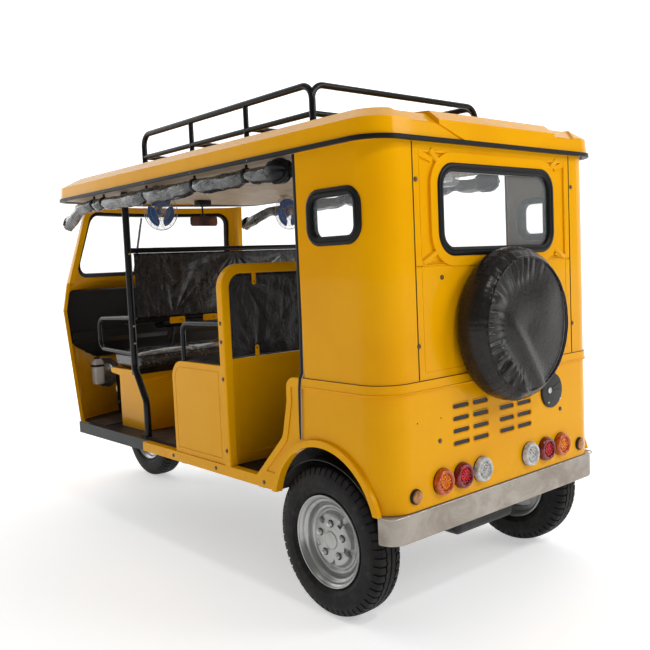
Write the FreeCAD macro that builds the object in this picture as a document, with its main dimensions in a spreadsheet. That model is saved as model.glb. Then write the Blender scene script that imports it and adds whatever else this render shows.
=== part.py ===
"""Auto rickshaw: a three-wheeled passenger vehicle with a rear engine.

Millimetres. +Z is up, the front points along -Y and the left side along +X. Lengths along
the vehicle are first measured from the rear axle, and each sub-part's Placement then moves
it so that the whole model is centred on the origin.
"""
import FreeCAD, Part
import Sketcher
import math
import os

V = FreeCAD.Vector
doc = FreeCAD.newDocument("auto_rickshaw")
sheet = doc.addObject("Spreadsheet::Sheet", "sizes")
FAR = 5000.0   # beyond the vehicle on every side, for cuts that pass right through

# name, length in millimetres (angles in degrees, counts plain)
SIZES = (
    # wheels
    ("wheelbase", 2350), ("track_inset", 77), ("wheel_radius", 275), ("tyre_width", 125),
    ("tyre_lip_gap", 2), ("crown_width", 88), ("flank_rise", 32), ("shoulder_drop", 30),
    ("bead_radius", 158), ("rim_lip_radius", 170), ("rim_width", 104), ("rim_ledge_step", 9),
    ("rim_lip_turn", 7), ("rim_sheet", 4), ("rim_well_depth", 18), ("rim_well_half", 16), ("hub_out", 34),
    ("disc_dish", 10), ("disc_foot", 4), ("disc_rise", 6), ("disc_shoulder", 22), ("hub_cap_radius", 29),
    ("drum_back", 40), ("drum_radius", 88), ("axle_radius", 17), ("wheel_nuts", 5), ("nut_circle", 60),
    ("nut_radius", 9.5), ("bearing_gap", 0.05), ("seat_gap", 0.3),
    # body shell
    ("body_half", 625), ("wall", 18), ("rear_face", 350), ("body_corner", 110), ("tub_bottom", 420),
    ("belt_rise", 451), ("belt_band", 36), ("belt_raise", 6), ("eaves_rise", 801), ("quarter_depth", 407),
    ("seam_inset", 165), ("seam_width", 3), ("seam_depth", 4), ("tub_depth", 727), ("tub_lip", 26),
    ("tub_lip_raise", 4), ("tub_nose", 106), ("tub_lean", 34), ("tub_knee", 177), ("tub_chest", 91),
    ("arch_back", 22), ("arch_lift", 84), ("arch_slack", 3), ("arch_lip", 25), ("arch_lip_raise", 14),
    ("slot_length", 86), ("slot_height", 16), ("slot_step", 44), ("slot_rise", 341), ("slot_column", 110),
    ("slot_group", 265), ("slot_side", 251), ("bay_sheet", 5), ("house_gap", 22),
    # windows
    ("tail_window_half", 340), ("tail_window_drop", 67), ("tail_window_height", 315),
    ("tail_window_corner", 80), ("side_window_front", 57), ("side_window_length", 266),
    ("side_window_drop", 142), ("side_window_height", 186), ("side_window_corner", 60), ("seal_width", 24),
    ("seal_seat", 10), ("seal_lip", 5), ("glass_thick", 4), ("glass_inset", 16), ("rib_width", 14),
    ("belt_seam", 7), ("frame_width", 37), ("frame_raise", 4), ("field_inset", 35), ("field_sink", 6),
    ("field_low_drop", 410), ("screen_half", 528), ("screen_top_half", 464), ("screen_low", 30),
    ("screen_high", 31.5), ("screen_corner", 80),
    # floor
    ("floor_rise", 40), ("floor_sheet", 6), ("mat_thick", 4), ("sill_front_gap", 1043),
    ("sill_rear_gap", 619), ("sill_proud", 3), ("sill_width", 34), ("sill_out", 4), ("rail_depth", 62),
    ("rail_line", 262), ("rail_half", 24), ("well_half", 272), ("well_behind", 365), ("well_rise", 230),
    # steering
    ("steer_rake", 22), ("steer_trail", 20), ("steerer_radius", 20), ("steerer_rise", 175),
    ("leg_spread", 86), ("leg_radius", 12), ("head_clear", 130), ("head_length", 155), ("head_wall", 9),
    ("guard_gap", 15), ("guard_sheet", 4), ("guard_lip", 22), ("guard_sweep", 172), ("bar_radius", 11),
    ("grip_radius", 16), ("bar_reach", 340),
    # front body
    ("nose_foot_drop", 58), ("nose_foot_inset", 35), ("nose_foot_corner", 246), ("nose_foot_tip", 50),
    ("waist_rise", 616), ("waist_inset", 33), ("waist_corner", 96), ("waist_tip", -95),
    ("scuttle_drop", 440), ("scuttle_inset", 37), ("scuttle_corner", 158), ("scuttle_tip", -22),
    ("header_drop", 16.5), ("header_inset", 114), ("nose_back", 360), ("nose_corner", 110),
    ("nose_bow", 1000), ("header_corner", 297), ("header_tip", 145), ("skirt_sheet", 6),
    ("dash_inset", 65), ("dash_face", 118), ("dash_rise", 730), ("dash_shelf", 480), ("dash_foot", 330),
    # cabin
    ("partition_gap", 930), ("partition_rise", 835), ("hoop_tube", 40), ("hoop_corner", 100),
    ("hoop_edge", 6), ("panel_thick", 20), ("panel_rise", 418), ("panel_front_gap", 420),
    ("panel_corner", 80), ("panel_border", 24), ("panel_set_in", 2), ("panel_sink", 6), ("groove", 2.5),
    ("partition_panel_rise", 444), ("post_gap", 860), ("post_inset", 73), ("post_radius", 17),
    ("post_knee", 340), ("post_kick", 100), ("post_bar_high", 925), ("post_bar_low", 570),
    ("post_bar_radius", 13), ("driver_seat_rise", 316), ("driver_seat_depth", 323),
    ("driver_seat_inset", 22), ("driver_cushion_thick", 88), ("bench_rise", 310), ("bench_thick", 110),
    ("bench_front_gap", 430), ("bench_rear_gap", 70), ("bench_inset", 24), ("bench_base_inset", 60),
    ("back_inset", 80), ("back_top_drop", 55), ("back_thick", 93), ("seat_sheet", 8), ("arm_radius", 11),
    ("screen_sheet", 4), ("cushion_edge", 24),
    # roof
    ("roof_overhang", 25), ("roof_rear_overhang", 18), ("roof_seat", 4), ("roof_brim", 65),
    ("brim_inset", 5), ("roof_ridge", 101), ("ridge_inset", 50), ("ridge_front", 150), ("crown_rise", 17),
    ("crown_inset", 320), ("crown_ends", 270), ("roof_wall", 9), ("roof_corner", 108), ("roof_bow", 2200),
    ("pressing_half", 340), ("pressing_width", 150), ("roof_front_gap", 261), ("roof_nose_gap", 125),
    ("pressing_depth", 5), ("gutter_drop", 5), ("gutter_rise", 8), ("gutter_out", 8), ("gutter_in", 14),
    ("lining_thick", 3.7), ("rack_inset", 175), ("rack_tube", 13), ("rack_rail", 11),
    ("rack_low_rise", 41), ("rack_high_rise", 148), ("rack_front_gap", 689), ("rack_rear_gap", 490),
    ("rack_corner", 55),
    # tail
    ("bumper_inset", 5), ("bumper_stand", 8), ("bumper_rise", 13), ("bumper_height", 98),
    ("bumper_corner", 70), ("bumper_sheet", 4), ("bumper_flange", 30), ("bumper_edge", 8),
    ("bumper_wrap", 74), ("cover_radius", 283), ("cover_rise", 161), ("cover_offset", 10),
    ("cover_depth", 125), ("cover_stand", 10), ("cover_bulge", 3), ("boss_radius", 70),
    ("flap_radius", 70), ("flap_side", 304), ("flap_rise", 319), ("flap_thick", 9), ("bracket_side", 417),
    ("bracket_rise", 312), ("bracket_spacing", 120), ("screw_radius", 3.5),
    # lamps
    ("lamp_rise", 91), ("lamp_radius", 40), ("lamp_depth", 24), ("lamp_edge", 8), ("bezel_radius", 47),
    ("bezel_depth", 14), ("bezel_gap", 0.3), ("amber_side", 363), ("red_side", 256), ("clear_side", 147),
    ("marker_side", 500), ("marker_rise", 67), ("marker_radius", 27), ("marker_depth", 16),
    ("head_lamp_radius", 72), ("head_bezel_radius", 86), ("head_lamp_side", 330), ("head_lamp_rise", 230),
    ("corner_lamp_radius", 32), ("corner_lamp_side", 440), ("corner_lamp_rise", 390),
    ("cabin_lamp_half", 62), ("cabin_lamp_depth", 112),
    # running gear and cabin fittings
    ("engine_half", 175), ("axle_reach", 18), ("engine_front", 150), ("engine_rear", 255),
    ("engine_low", 35), ("engine_height", 320), ("engine_edge", 25), ("curtain_radius", 40), ("curtain_reach", 24),
    ("curtain_rear_gap", 53), ("curtain_front_gap", 219), ("fan_inset", 147), ("fan_ahead", 90),
    ("fan_drop", 98), ("guard_radius", 95), ("guard_wire", 5), ("motor_radius", 30), ("blade_count", 3),
)
DERIVED = (
    ("centre_shift", "(wheelbase + wheel_radius + guard_gap + guard_sheet"
                     " - rear_face - cover_stand - cover_depth - cover_bulge) / 2"),
    ("track_half", "body_half - track_inset"),
    ("belt", "tub_bottom + belt_rise"),
    ("eaves", "belt + eaves_rise"),
    ("floor_top", "tub_bottom + floor_rise"),
    ("sill_top", "floor_top + sill_proud"),
    ("sill_front", "sill_front_gap - wheelbase"),
    ("sill_rear", "rear_face - sill_rear_gap"),
    ("quarter_front", "rear_face - quarter_depth"),
    ("seam_half", "body_half - seam_inset"),
    ("arch_level", "wheel_radius + arch_lift"),
    ("arch_radius", "wheel_radius - arch_slack"),
    ("well_back", "well_behind - wheelbase"),
    ("well_top", "floor_top + well_rise"),
    ("steer_foot", "steer_trail - wheelbase"),
    ("head_low", "wheel_radius + head_clear"),
    ("head_high", "head_low + head_length"),
    ("partition", "rear_face - partition_gap"),
    ("partition_top", "floor_top + partition_rise"),
    ("hoop_out", "body_half + sill_out"),
    ("hoop_in", "hoop_out - hoop_tube"),
    ("hoop_line", "hoop_out - hoop_tube / 2"),
    ("hoop_face", "partition - hoop_tube / 2"),
    ("post_line", "post_gap - wheelbase"),
    ("post_half", "body_half - post_inset"),
    ("roof_half", "body_half + roof_overhang"),
    ("roof_rear", "rear_face + roof_rear_overhang"),
    ("roof_front", "roof_front_gap - wheelbase"),
    ("roof_nose", "roof_nose_gap - wheelbase"),
    ("roof_foot", "eaves + roof_seat"),
    ("roof_crown", "roof_foot + roof_ridge + crown_rise"),
    ("rack_half", "roof_half - rack_inset"),
    ("rack_low", "roof_crown + rack_low_rise"),
    ("rack_high", "roof_crown + rack_high_rise"),
    ("rack_front", "roof_front + rack_front_gap"),
    ("rack_rear", "roof_rear - rack_rear_gap"),
    ("bumper_half", "body_half - bumper_inset"),
    ("bumper_face", "rear_face + bumper_stand"),
    ("bumper_high", "tub_bottom + bumper_rise"),
    ("bumper_low", "bumper_high - bumper_height"),
    ("cover_height", "belt + cover_rise"),
    ("lamp_height", "tub_bottom + lamp_rise"),
    ("fan_line", "post_line + fan_ahead"),
    ("fan_half", "post_half - fan_inset"),
    ("fan_height", "eaves - fan_drop"),
    ("driver_seat", "floor_top + driver_seat_rise"),
    ("driver_seat_rear", "post_line - post_radius - seat_gap"),
    ("bench_seat", "floor_top + bench_rise"),
    ("bench_front", "partition - bench_front_gap"),
)
for row, (name, value) in enumerate(SIZES + DERIVED, start=1):
    sheet.set(f"A{row}", name)
    sheet.set(f"B{row}", f"={value}" if isinstance(value, str) else str(value))
    sheet.setAlias(f"B{row}", name)
doc.recompute()


class Dim(float):
    """A length that also knows the sheet expression it comes from."""

    def __new__(cls, value, text=None):
        made = float.__new__(cls, value)
        made.text = text or f"({value!r})"
        return made

    @staticmethod
    def of(value):
        return value if isinstance(value, Dim) else Dim(float(value))

    def join(self, sign, other, value, flip=False):
        first, second = (Dim.of(other), self) if flip else (self, Dim.of(other))
        return Dim(value, f"({first.text} {sign} {second.text})")

    def __add__(self, other):
        return self.join("+", other, float(self) + float(other))

    def __radd__(self, other):
        return self.join("+", other, float(other) + float(self), True)

    def __sub__(self, other):
        return self.join("-", other, float(self) - float(other))

    def __rsub__(self, other):
        return self.join("-", other, float(other) - float(self), True)

    def __mul__(self, other):
        return self.join("*", other, float(self) * float(other))

    def __rmul__(self, other):
        return self.join("*", other, float(other) * float(self), True)

    def __truediv__(self, other):
        return self.join("/", other, float(self) / float(other))

    def __neg__(self):
        return Dim(-float(self), f"(0 - {self.text})")


class Sizes:
    """Reads a size from the sheet by its name."""

    def __getattr__(self, name):
        return Dim(float(sheet.get(name)), f"sizes.{name}")


S = Sizes()


# ---------------------------------------------------------------- shapes

def at(plane, a, b, level):
    """The point (a, b) of a plane that lies at the given level along its normal."""
    return {"xy": V(a, b, level), "xz": V(a, level, b), "yz": V(level, a, b)}[plane]


def outline(points, plane="xy", level=0.0):
    """A closed wire through (a, b, radius) corners, each rounded by its radius."""
    corners = [V(p[0], p[1], 0) for p in points]
    radii = [p[2] if len(p) > 2 else 0 for p in points]
    count = len(corners)
    ends = []
    for i, corner in enumerate(corners):
        before = (corners[i - 1] - corner).normalize()
        after = (corners[(i + 1) % count] - corner).normalize()
        if radii[i] <= 0:
            ends.append((corner, None, corner))
            continue
        half = before.getAngle(after) / 2
        reach = radii[i] / math.tan(half)
        middle = (before + after).normalize()
        depth = radii[i] / math.sin(half) - radii[i]
        ends.append((corner + before * reach, corner + middle * depth, corner + after * reach))
    edges = []
    for i, (start, middle, end) in enumerate(ends):
        place = [at(plane, p.x, p.y, level) for p in (start, end, ends[(i + 1) % count][0])]
        if middle is not None:
            mid = at(plane, middle.x, middle.y, level)
            edges.append(Part.Arc(place[0], mid, place[1]).toShape())
        if (place[1] - place[2]).Length > 1e-6:
            edges.append(Part.LineSegment(place[1], place[2]).toShape())
    return Part.Wire(edges)


def slab(points, plane, level, thick):
    """A plate with the given outline, from level to level + thick."""
    face = Part.Face(outline(points, plane, level))
    return face.extrude(at(plane, 0, 0, thick))


def block(x0, x1, y0, y1, z0, z1):
    return Part.makeBox(x1 - x0, y1 - y0, z1 - z0, V(x0, y0, z0))


def rod(radius, start, end):
    start, end = V(*start), V(*end)
    return Part.makeCylinder(radius, (end - start).Length, start, end - start)


def window(a0, a1, b0, b1, radius):
    """Corners of a rectangle with one radius at every corner."""
    return [(a0, b0, radius), (a1, b0, radius), (a1, b1, radius), (a0, b1, radius)]


def pipe(points, radius, bend):
    """A round bar along straight runs, with a bend of the given radius at each corner."""
    spots = [V(*p) for p in points]
    edges = []
    start = spots[0]
    for before, corner, after in zip(spots, spots[1:], spots[2:]):
        back = (before - corner).normalize()
        ahead = (after - corner).normalize()
        half = back.getAngle(ahead) / 2
        reach = bend / math.tan(half)
        middle = (back + ahead).normalize() * (bend / math.sin(half) - bend)
        first, last = corner + back * reach, corner + ahead * reach
        edges.append(Part.LineSegment(start, first).toShape())
        edges.append(Part.Arc(first, corner + middle, last).toShape())
        start = last
    edges.append(Part.LineSegment(start, spots[-1]).toShape())
    ring = Part.Wire(Part.makeCircle(radius, spots[0], spots[1] - spots[0]))
    return Part.Wire(edges).makePipeShell([ring], True, False)


def flip(shape):
    """The same shape on the other side of the vehicle."""
    return shape.mirror(V(0, 0, 0), V(1, 0, 0))


def pair(shape):
    return [shape, flip(shape)]


def together(shapes):
    return Part.makeCompound(list(shapes))


def joined(shapes):
    whole = shapes[0].multiFuse(list(shapes[1:]))
    tidy = whole.removeSplitter()
    return tidy if tidy.isValid() else whole


# ---------------------------------------------------------------- sub-parts

PARTS = []


def keep(thing, label, x=0.0, y=0.0, z=0.0):
    """Labels a sub-part and sets its place, with lengths measured from the rear axle."""
    thing.Label = label
    for axis, value in (("x", x), ("y", y + S.centre_shift), ("z", z)):
        thing.setExpression(f"Placement.Base.{axis}", Dim.of(value).text)
    PARTS.append(thing)
    return thing


def feature(label, shape):
    """A sub-part whose form is bent or lofted sheet or tube."""
    thing = doc.addObject("Part::Feature", label)
    thing.Shape = Part.makeCompound(shape.Solids)
    return keep(thing, label)


def body(label):
    made = doc.addObject("PartDesign::Body", label)
    return made


def origin(made, role):
    return next(f for f in made.Origin.OriginFeatures if f.Role == role)


def sketch(made, role, points, name):
    """A closed outline whose corners are bound to the sheet."""
    drawn = made.newObject("Sketcher::SketchObject", name)
    drawn.AttachmentSupport = [(origin(made, role), "")]
    drawn.MapMode = "FlatFace"
    count = len(points)
    spots = [V(a, b, 0) for a, b in points]
    for i in range(count):
        drawn.addGeometry(Part.LineSegment(spots[i], spots[(i + 1) % count]), False)
    for i in range(count):
        drawn.addConstraint(Sketcher.Constraint("Coincident", i, 2, (i + 1) % count, 1))
    for i, pair_of in enumerate(points):
        for kind, value in zip(("DistanceX", "DistanceY"), pair_of):
            value = Dim.of(value)
            number = drawn.addConstraint(Sketcher.Constraint(kind, -1, 1, i, 1, float(value)))
            drawn.setExpression(f"Constraints[{number}]", value.text)
    return drawn


def revolved(made, drawn, name, axis="H_Axis"):
    turned = made.newObject("PartDesign::Revolution", name)
    turned.Profile = drawn
    turned.ReferenceAxis = (drawn, [axis])
    turned.Angle = 360
    return turned


def padded(made, drawn, length, name, middle=True):
    grown = made.newObject("PartDesign::Pad", name)
    grown.Profile = drawn
    grown.Length = float(length)
    grown.setExpression("Length", Dim.of(length).text)
    grown.Midplane = middle
    return grown


def ringed(made, feature_made, axis, count, name):
    pattern = made.newObject("PartDesign::PolarPattern", name)
    pattern.Originals = [feature_made]
    pattern.Axis = (origin(made, axis), [""])
    pattern.Angle = 360
    pattern.Occurrences = int(count)
    pattern.setExpression("Occurrences", Dim.of(count).text)
    made.Tip = pattern
    return pattern


def box(label, x0, x1, y0, y1, z0, z1):
    """A plain block whose sides and place are bound to the sheet."""
    made = doc.addObject("Part::Box", label)
    for side, low, high in (("Length", x0, x1), ("Width", y0, y1), ("Height", z0, z1)):
        made.setExpression(side, (Dim.of(high) - low).text)
    keep(made, label, Dim.of(x0), Dim.of(y0), Dim.of(z0))
    return made


def cushion(label, x0, x1, y0, y1, z0, z1, radius):
    """A soft block with rounded edges."""
    core = box(f"{label}_core", x0, x1, y0, y1, z0, z1)
    PARTS.remove(core)
    doc.recompute()
    rounded = doc.addObject("Part::Fillet", label)
    rounded.Base = core
    rounded.Edges = [(i + 1, float(radius), float(radius)) for i in range(12)]
    rounded.Label = label
    PARTS.append(rounded)
    return rounded


# ---- wheels

def tyre(label, x, y):
    """A road tyre, round shouldered, seated on the rim's bead ledge."""
    made = body(label)
    half, crown = S.tyre_width / 2, S.wheel_radius
    ledge = S.rim_width / 2 - S.rim_ledge_step - S.seat_gap
    side = [(ledge, S.bead_radius + S.seat_gap), (ledge, S.rim_lip_radius + S.tyre_lip_gap),
            (half, S.rim_lip_radius + S.flank_rise), (half, crown - S.shoulder_drop),
            (S.crown_width / 2, crown)]
    points = side + [(-a, b) for a, b in reversed(side)]
    revolved(made, sketch(made, "XY_Plane", points, f"{label}_section"), f"{label}_ring")
    return keep(made, label, x, y, S.wheel_radius)


def rim(label, x, y, through, turn):
    """A pressed wheel with its disc, brake drum and hub, the outer side towards +X."""
    made = body(label)
    half, lip, bead, metal = S.rim_width / 2, S.rim_lip_radius, S.bead_radius, S.rim_sheet
    bore = S.axle_radius + S.bearing_gap
    ledge, turned = half - S.rim_ledge_step, half - S.rim_ledge_step * 2 / 3
    well, flat, seat = bead - S.rim_well_depth, S.rim_well_half, bead - metal * 3 / 4
    slope, drum, shoulder = flat + metal * 2, S.drum_radius, S.drum_radius + S.disc_shoulder
    back, dish, face = S.disc_foot, S.hub_out - S.disc_dish, S.hub_out
    cap = [(face, bore)] if through else [(dish - metal, bore), (dish - metal, 0), (face, 0)]
    points = [(half, lip), (turned, lip), (ledge, bead), (slope, seat), (flat, well), (-flat, well),
              (-slope, seat), (-ledge, bead), (-turned, lip), (-half, lip), (-half, lip - S.rim_lip_turn),
              (-turned, bead - metal),
              (metal / 2 - slope, seat - metal), (metal / 2 - flat, well - metal), (back, well - metal),
              (back + S.disc_rise, shoulder), (back + S.disc_rise + metal / 2, drum), (-S.drum_back, drum),
              (-S.drum_back, bore)]
    points += cap + [(face, S.hub_cap_radius), (dish, S.hub_cap_radius), (dish, drum + metal),
                     (back + S.disc_rise * 2, shoulder), (back + S.disc_rise, well - metal),
                     (flat - metal / 2, well - metal),
                     (slope - metal / 2, seat - metal), (turned, bead - metal), (half, lip - S.rim_lip_turn)]
    revolved(made, sketch(made, "XY_Plane", points, f"{label}_section"), f"{label}_pressing")
    ring, nut = S.nut_circle, S.nut_radius
    corners = [(nut * math.cos(math.radians(60 * k)), ring + nut * math.sin(math.radians(60 * k)))
               for k in range(6)]
    hexagon = sketch(made, "YZ_Plane", corners, f"{label}_nut")
    nuts = padded(made, hexagon, face, f"{label}_stud", middle=False)
    ringed(made, nuts, "X_Axis", S.wheel_nuts, f"{label}_nuts")
    keep(made, label, x, y, S.wheel_radius)
    made.Placement = FreeCAD.Placement(made.Placement.Base, FreeCAD.Rotation(V(0, 0, 1), turn))
    return made


# ---- steering

def steer_point(along):
    """A point of the steering axis, measured along it from the height of the front axle."""
    rake = math.radians(S.steer_rake)
    return V(0, S.steer_foot + along * math.sin(rake), S.wheel_radius + along * math.cos(rake))


def front_fork():
    """Steerer, crown and two legs that hold the front axle."""
    top, crown = S.head_high + S.steerer_rise, S.head_low - S.seat_gap
    axle = V(0, -S.wheelbase, S.wheel_radius)
    plate_thick, plate_half, overhang, eye_radius = 26, 30, 20, 26
    pieces = [rod(S.steerer_radius, steer_point(crown - overhang), steer_point(top))]
    low = steer_point(crown - plate_thick)
    plate = block(-S.leg_spread - overhang, S.leg_spread + overhang, -plate_half, plate_half, 0, plate_thick)
    plate.rotate(V(0, 0, 0), V(1, 0, 0), -S.steer_rake)
    plate.translate(low)
    pieces.append(plate)
    for side in (-1, 1):
        shoulder = V(side * S.leg_spread, low.y + 4, low.z + 10)
        foot = V(side * S.leg_spread, axle.y, axle.z)
        pieces.append(rod(S.leg_radius, shoulder, foot))
        pieces.append(rod(eye_radius, foot + V(-S.leg_radius, 0, 0), foot + V(S.leg_radius, 0, 0)))
    pieces.append(rod(S.axle_radius, axle + V(-S.leg_spread, 0, 0), axle + V(S.leg_spread, 0, 0)))
    return feature("front_fork", joined(pieces))


def handlebar():
    """Bar with two grips and a small instrument pod, clamped on the steerer."""
    pod_half, pod_front, pod_back, pod_low, pod_high, grip_length = 85, 70, 40, 42, 60, 120
    middle = steer_point(S.head_high + S.steerer_rise + 30)
    reach, sweep, rise = S.bar_reach - grip_length - 5, 62, 18
    left = [(0, middle.y, middle.z), (pod_half + 5, middle.y, middle.z),
            (reach, middle.y + sweep, middle.z + rise), (S.bar_reach, middle.y + sweep + 12, middle.z + rise)]
    bar = pipe(left, S.bar_radius, 30)
    ends = rod(S.grip_radius, V(reach + 10, middle.y + sweep + 1, middle.z + rise),
               V(S.bar_reach + 5, middle.y + sweep + 12, middle.z + rise))
    pod = slab(window(middle.y - pod_front, middle.y + pod_back, middle.z - pod_low, middle.z + pod_high, 24),
               "yz", -pod_half, 2 * pod_half)
    socket = rod(S.steerer_radius + S.seat_gap, steer_point(S.head_high),
                 steer_point(S.head_high + S.steerer_rise + S.seat_gap))
    return feature("handlebar", joined([pod.cut(socket)] + pair(bar) + pair(ends)))


def front_mudguard():
    """Curved guard over the front tyre, with turned-down edges, between the fork's legs."""
    inner, metal, lip = S.wheel_radius + S.guard_gap, S.guard_sheet, S.guard_lip
    half = S.leg_spread - S.leg_radius - S.seat_gap
    behind = 62

    def band(low, high, x0, x1):
        outer = Part.makeCylinder(high, x1 - x0, V(x0, 0, 0), V(1, 0, 0), S.guard_sweep)
        return outer.cut(Part.makeCylinder(low, x1 - x0, V(x0, 0, 0), V(1, 0, 0)))

    guard = joined([band(inner, inner + metal, -half, half),
                    band(inner - lip, inner + metal, half - metal, half),
                    band(inner - lip, inner + metal, -half, metal - half)])
    guard.rotate(V(0, 0, 0), V(1, 0, 0), -behind)
    guard.translate(V(0, -S.wheelbase, S.wheel_radius))
    return feature("front_mudguard", guard)


# ---- frame and floor

def neck_tubes(grow):
    """The tubes between the rails and the head tube, or with a clearance round them."""
    rail_top = S.floor_top - S.floor_sheet
    foot = S.well_back + 47
    head = steer_point(S.head_low + S.head_length / 2)
    knee = steer_point(S.head_low + 20).z + 40
    neck = pipe([(0, foot, rail_top - 32), (0, foot, knee), (0, head.y, head.z)], 22 + grow, 60)
    end = steer_point(S.head_high)
    brace = rod(14 + grow, (S.rail_line, foot - 12, rail_top - 16), (20, end.y + 30, end.z - 30))
    return [neck] + pair(brace)


def chassis_frame():
    """Two long rails, cross members, and the neck with its head tube."""
    high = S.floor_top - S.floor_sheet
    low, half = high - S.rail_depth, 20
    front, rear = S.well_back + 25, S.rear_face - 23
    pieces = pair(block(S.rail_line - S.rail_half, S.rail_line + S.rail_half, front, rear, low, high))
    wide = S.body_half - 35
    for y, reach in ((front + half, wide - 30), (S.post_line - 10, wide), (S.bench_front + 10, wide),
                     (S.partition + 180, wide), (rear - 37, wide - 120)):
        pieces.append(block(-reach, reach, y - half, y + half, low + 8, high))
    head = rod(S.steerer_radius + S.head_wall, steer_point(S.head_low), steer_point(S.head_high))
    frame = joined(pieces + [head] + neck_tubes(0))
    bore = rod(S.steerer_radius + S.bearing_gap, steer_point(S.head_low - 30), steer_point(S.head_high + 30))
    return feature("chassis_frame", frame.cut(bore))


def floor_pan():
    """Pressed floor with the front wheel's housing raised out of it."""
    top, metal, well = S.floor_top, S.floor_sheet, S.well_half
    half = S.body_half + S.sill_out - S.sill_width - S.seat_gap
    rear = S.rear_face - S.tub_depth
    sheet_part = slab([(-half, rear), (half, rear), (half, NOSE_BACK - 5), (-half, NOSE_BACK - 5)],
                      "xy", top - metal, metal)
    front = nose_outline(*nose_at(top - metal), S.wall + 3, 0)
    sheet_part = sheet_part.fuse(Part.Face(front).extrude(V(0, 0, metal)))
    nose = NOSE_BACK - 280
    outer = block(-well - metal, well + metal, nose, S.well_back + metal, top - metal, S.well_top + metal)
    outer = outer.common(nose_block(NOSE, S.wall + 1, 60))
    inner = block(-well, well, nose - 100, S.well_back, top - 100, S.well_top)
    pan = sheet_part.fuse(outer).cut(inner)
    around = S.steerer_radius + S.head_wall + 6
    hole = rod(around, steer_point(S.head_low - 50), steer_point(S.head_high + 90))
    return feature("floor_pan", pan.cut([hole] + neck_tubes(3)))


def floor_mat():
    """Rubber mats on the driver's and the passengers' floor."""
    level, thick, half, front = S.floor_top, S.mat_thick, S.body_half - 65, NOSE_BACK - 50
    near, rear = S.well_half + 12, S.post_line - 360
    driver = slab([(-half, rear), (half, rear), (half, front), (near, front - 120),
                   (near, S.well_back + 12), (-near, S.well_back + 12),
                   (-near, front - 120), (-half, front)], "xy", level, thick)
    driver = driver.cut(neck_tubes(3))
    rear = slab(window(-half, half, S.post_line + 5, S.bench_front, 20), "xy", level, thick)
    return feature("floor_mat", together([driver, rear]))


def sills():
    """Folded sill under each doorway."""
    made = body("sills")
    for side, name in ((1, "left"), (-1, "right")):
        outer = side * (S.body_half + S.sill_out)
        inner = side * (S.body_half + S.sill_out - S.sill_width)
        points = [(inner, S.tub_bottom), (outer, S.tub_bottom), (outer, S.sill_top), (inner, S.sill_top)]
        low = sketch(made, "XZ_Plane", points, f"sill_{name}")
        padded(made, low, S.sill_rear - S.sill_front, f"sill_{name}_run")
    return keep(made, "sills", 0, (S.sill_rear + S.sill_front) / 2)


def front_skirts():
    """Dark skirts below the driver's floor, ahead of the sills."""
    x, rear, front = S.body_half + S.sill_out - S.sill_width, S.sill_front - 1, NOSE_BACK - 102
    foot = NOSE[0][0]
    plate = slab([(rear, foot + 6), (rear, S.floor_top + 2), (front, S.floor_top + 2), (front, foot)],
                 "yz", x, S.skirt_sheet)
    return feature("front_skirts", together(pair(plate)))


# ---- front body

NOSE = (  # height, half width, corner, nose: the front body's plan outline at each level
    (S.floor_top - S.nose_foot_drop, S.body_half - S.nose_foot_inset, S.nose_foot_corner - S.wheelbase,
     S.nose_foot_tip - S.wheelbase),
    (S.floor_top + S.waist_rise, S.body_half - S.waist_inset, S.waist_corner - S.wheelbase,
     S.waist_tip - S.wheelbase),
    (S.eaves - S.scuttle_drop, S.body_half - S.scuttle_inset, S.scuttle_corner - S.wheelbase,
     S.scuttle_tip - S.wheelbase),
)
HEADER = (S.eaves - S.header_drop, S.body_half - S.header_inset, S.header_corner - S.wheelbase,
          S.header_tip - S.wheelbase)
SCREEN = (NOSE[2], HEADER)
NOSE_BACK = S.nose_back - S.wheelbase


def nose_outline(level, half, corner, nose, inset=0.0, deep=0.0):
    """Plan outline of the front body: straight flanks, round corners, bowed nose."""
    half, corner, nose = half - inset, corner + inset * 0.7, nose + inset
    back, turn, bow = NOSE_BACK + deep, S.nose_corner - inset, S.nose_bow - inset
    return outline([(half, back), (half, corner - 30, turn), (0, nose - 100, bow),
                    (-half, corner - 30, turn), (-half, back)], "xy", level)


def nose_at(level):
    """The nose's section at a level between its lowest two."""
    (low, *first), (high, *second) = NOSE[0], NOSE[1]
    share = (level - low) / (high - low)
    return [level] + [a + (b - a) * share for a, b in zip(first, second)]


def nose_block(sections, inset=0.0, deep=0.0):
    return Part.makeLoft([nose_outline(*section, inset, deep) for section in sections], True, True)


def front_cowl():
    """Nose shell from the floor to the windscreen, open in the middle for the wheel."""
    shell = nose_block(NOSE).cut(nose_block(NOSE, S.wall, 40))
    (foot, _, low, _), (waist, _, middle, _), (top, _, high, _) = NOSE
    rear = NOSE_BACK + 90
    side = slab([(low + 64, foot - 12), (low + 4, foot - 12), (middle + 29, waist), (high + 32, top + 8),
                 (rear, top + 8), (rear, foot - 12)], "yz", -FAR, 2 * FAR)
    shell = shell.cut(side)
    well, roof = S.well_half, S.well_top
    arch = slab([(-well, 0), (-well, roof, 120), (well, roof, 120), (well, 0)], "xz", -FAR, FAR + rear)
    lamps = head_lamps(S.bezel_gap, 60, 90) + corner_lamps(S.bezel_gap, 60, 60)
    return feature("front_cowl", shell.cut([arch] + lamps))


def screen_window(inset):
    """The windscreen's opening, drawn out along the vehicle."""
    low, high = NOSE[2][0] + S.screen_low + inset, HEADER[0] - S.screen_high - inset
    half, top, turn = S.screen_half - inset, S.screen_top_half - inset, S.screen_corner - inset
    return slab([(-half, low, turn), (half, low, turn), (top, high, turn), (-top, high, turn)],
                "xz", -FAR, FAR + NOSE_BACK + 10)


def screen_shell(inner, outer):
    """A skin between two insets of the windscreen's curved plane."""
    return nose_block(SCREEN, inner).cut(nose_block(SCREEN, outer, 40))


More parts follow.
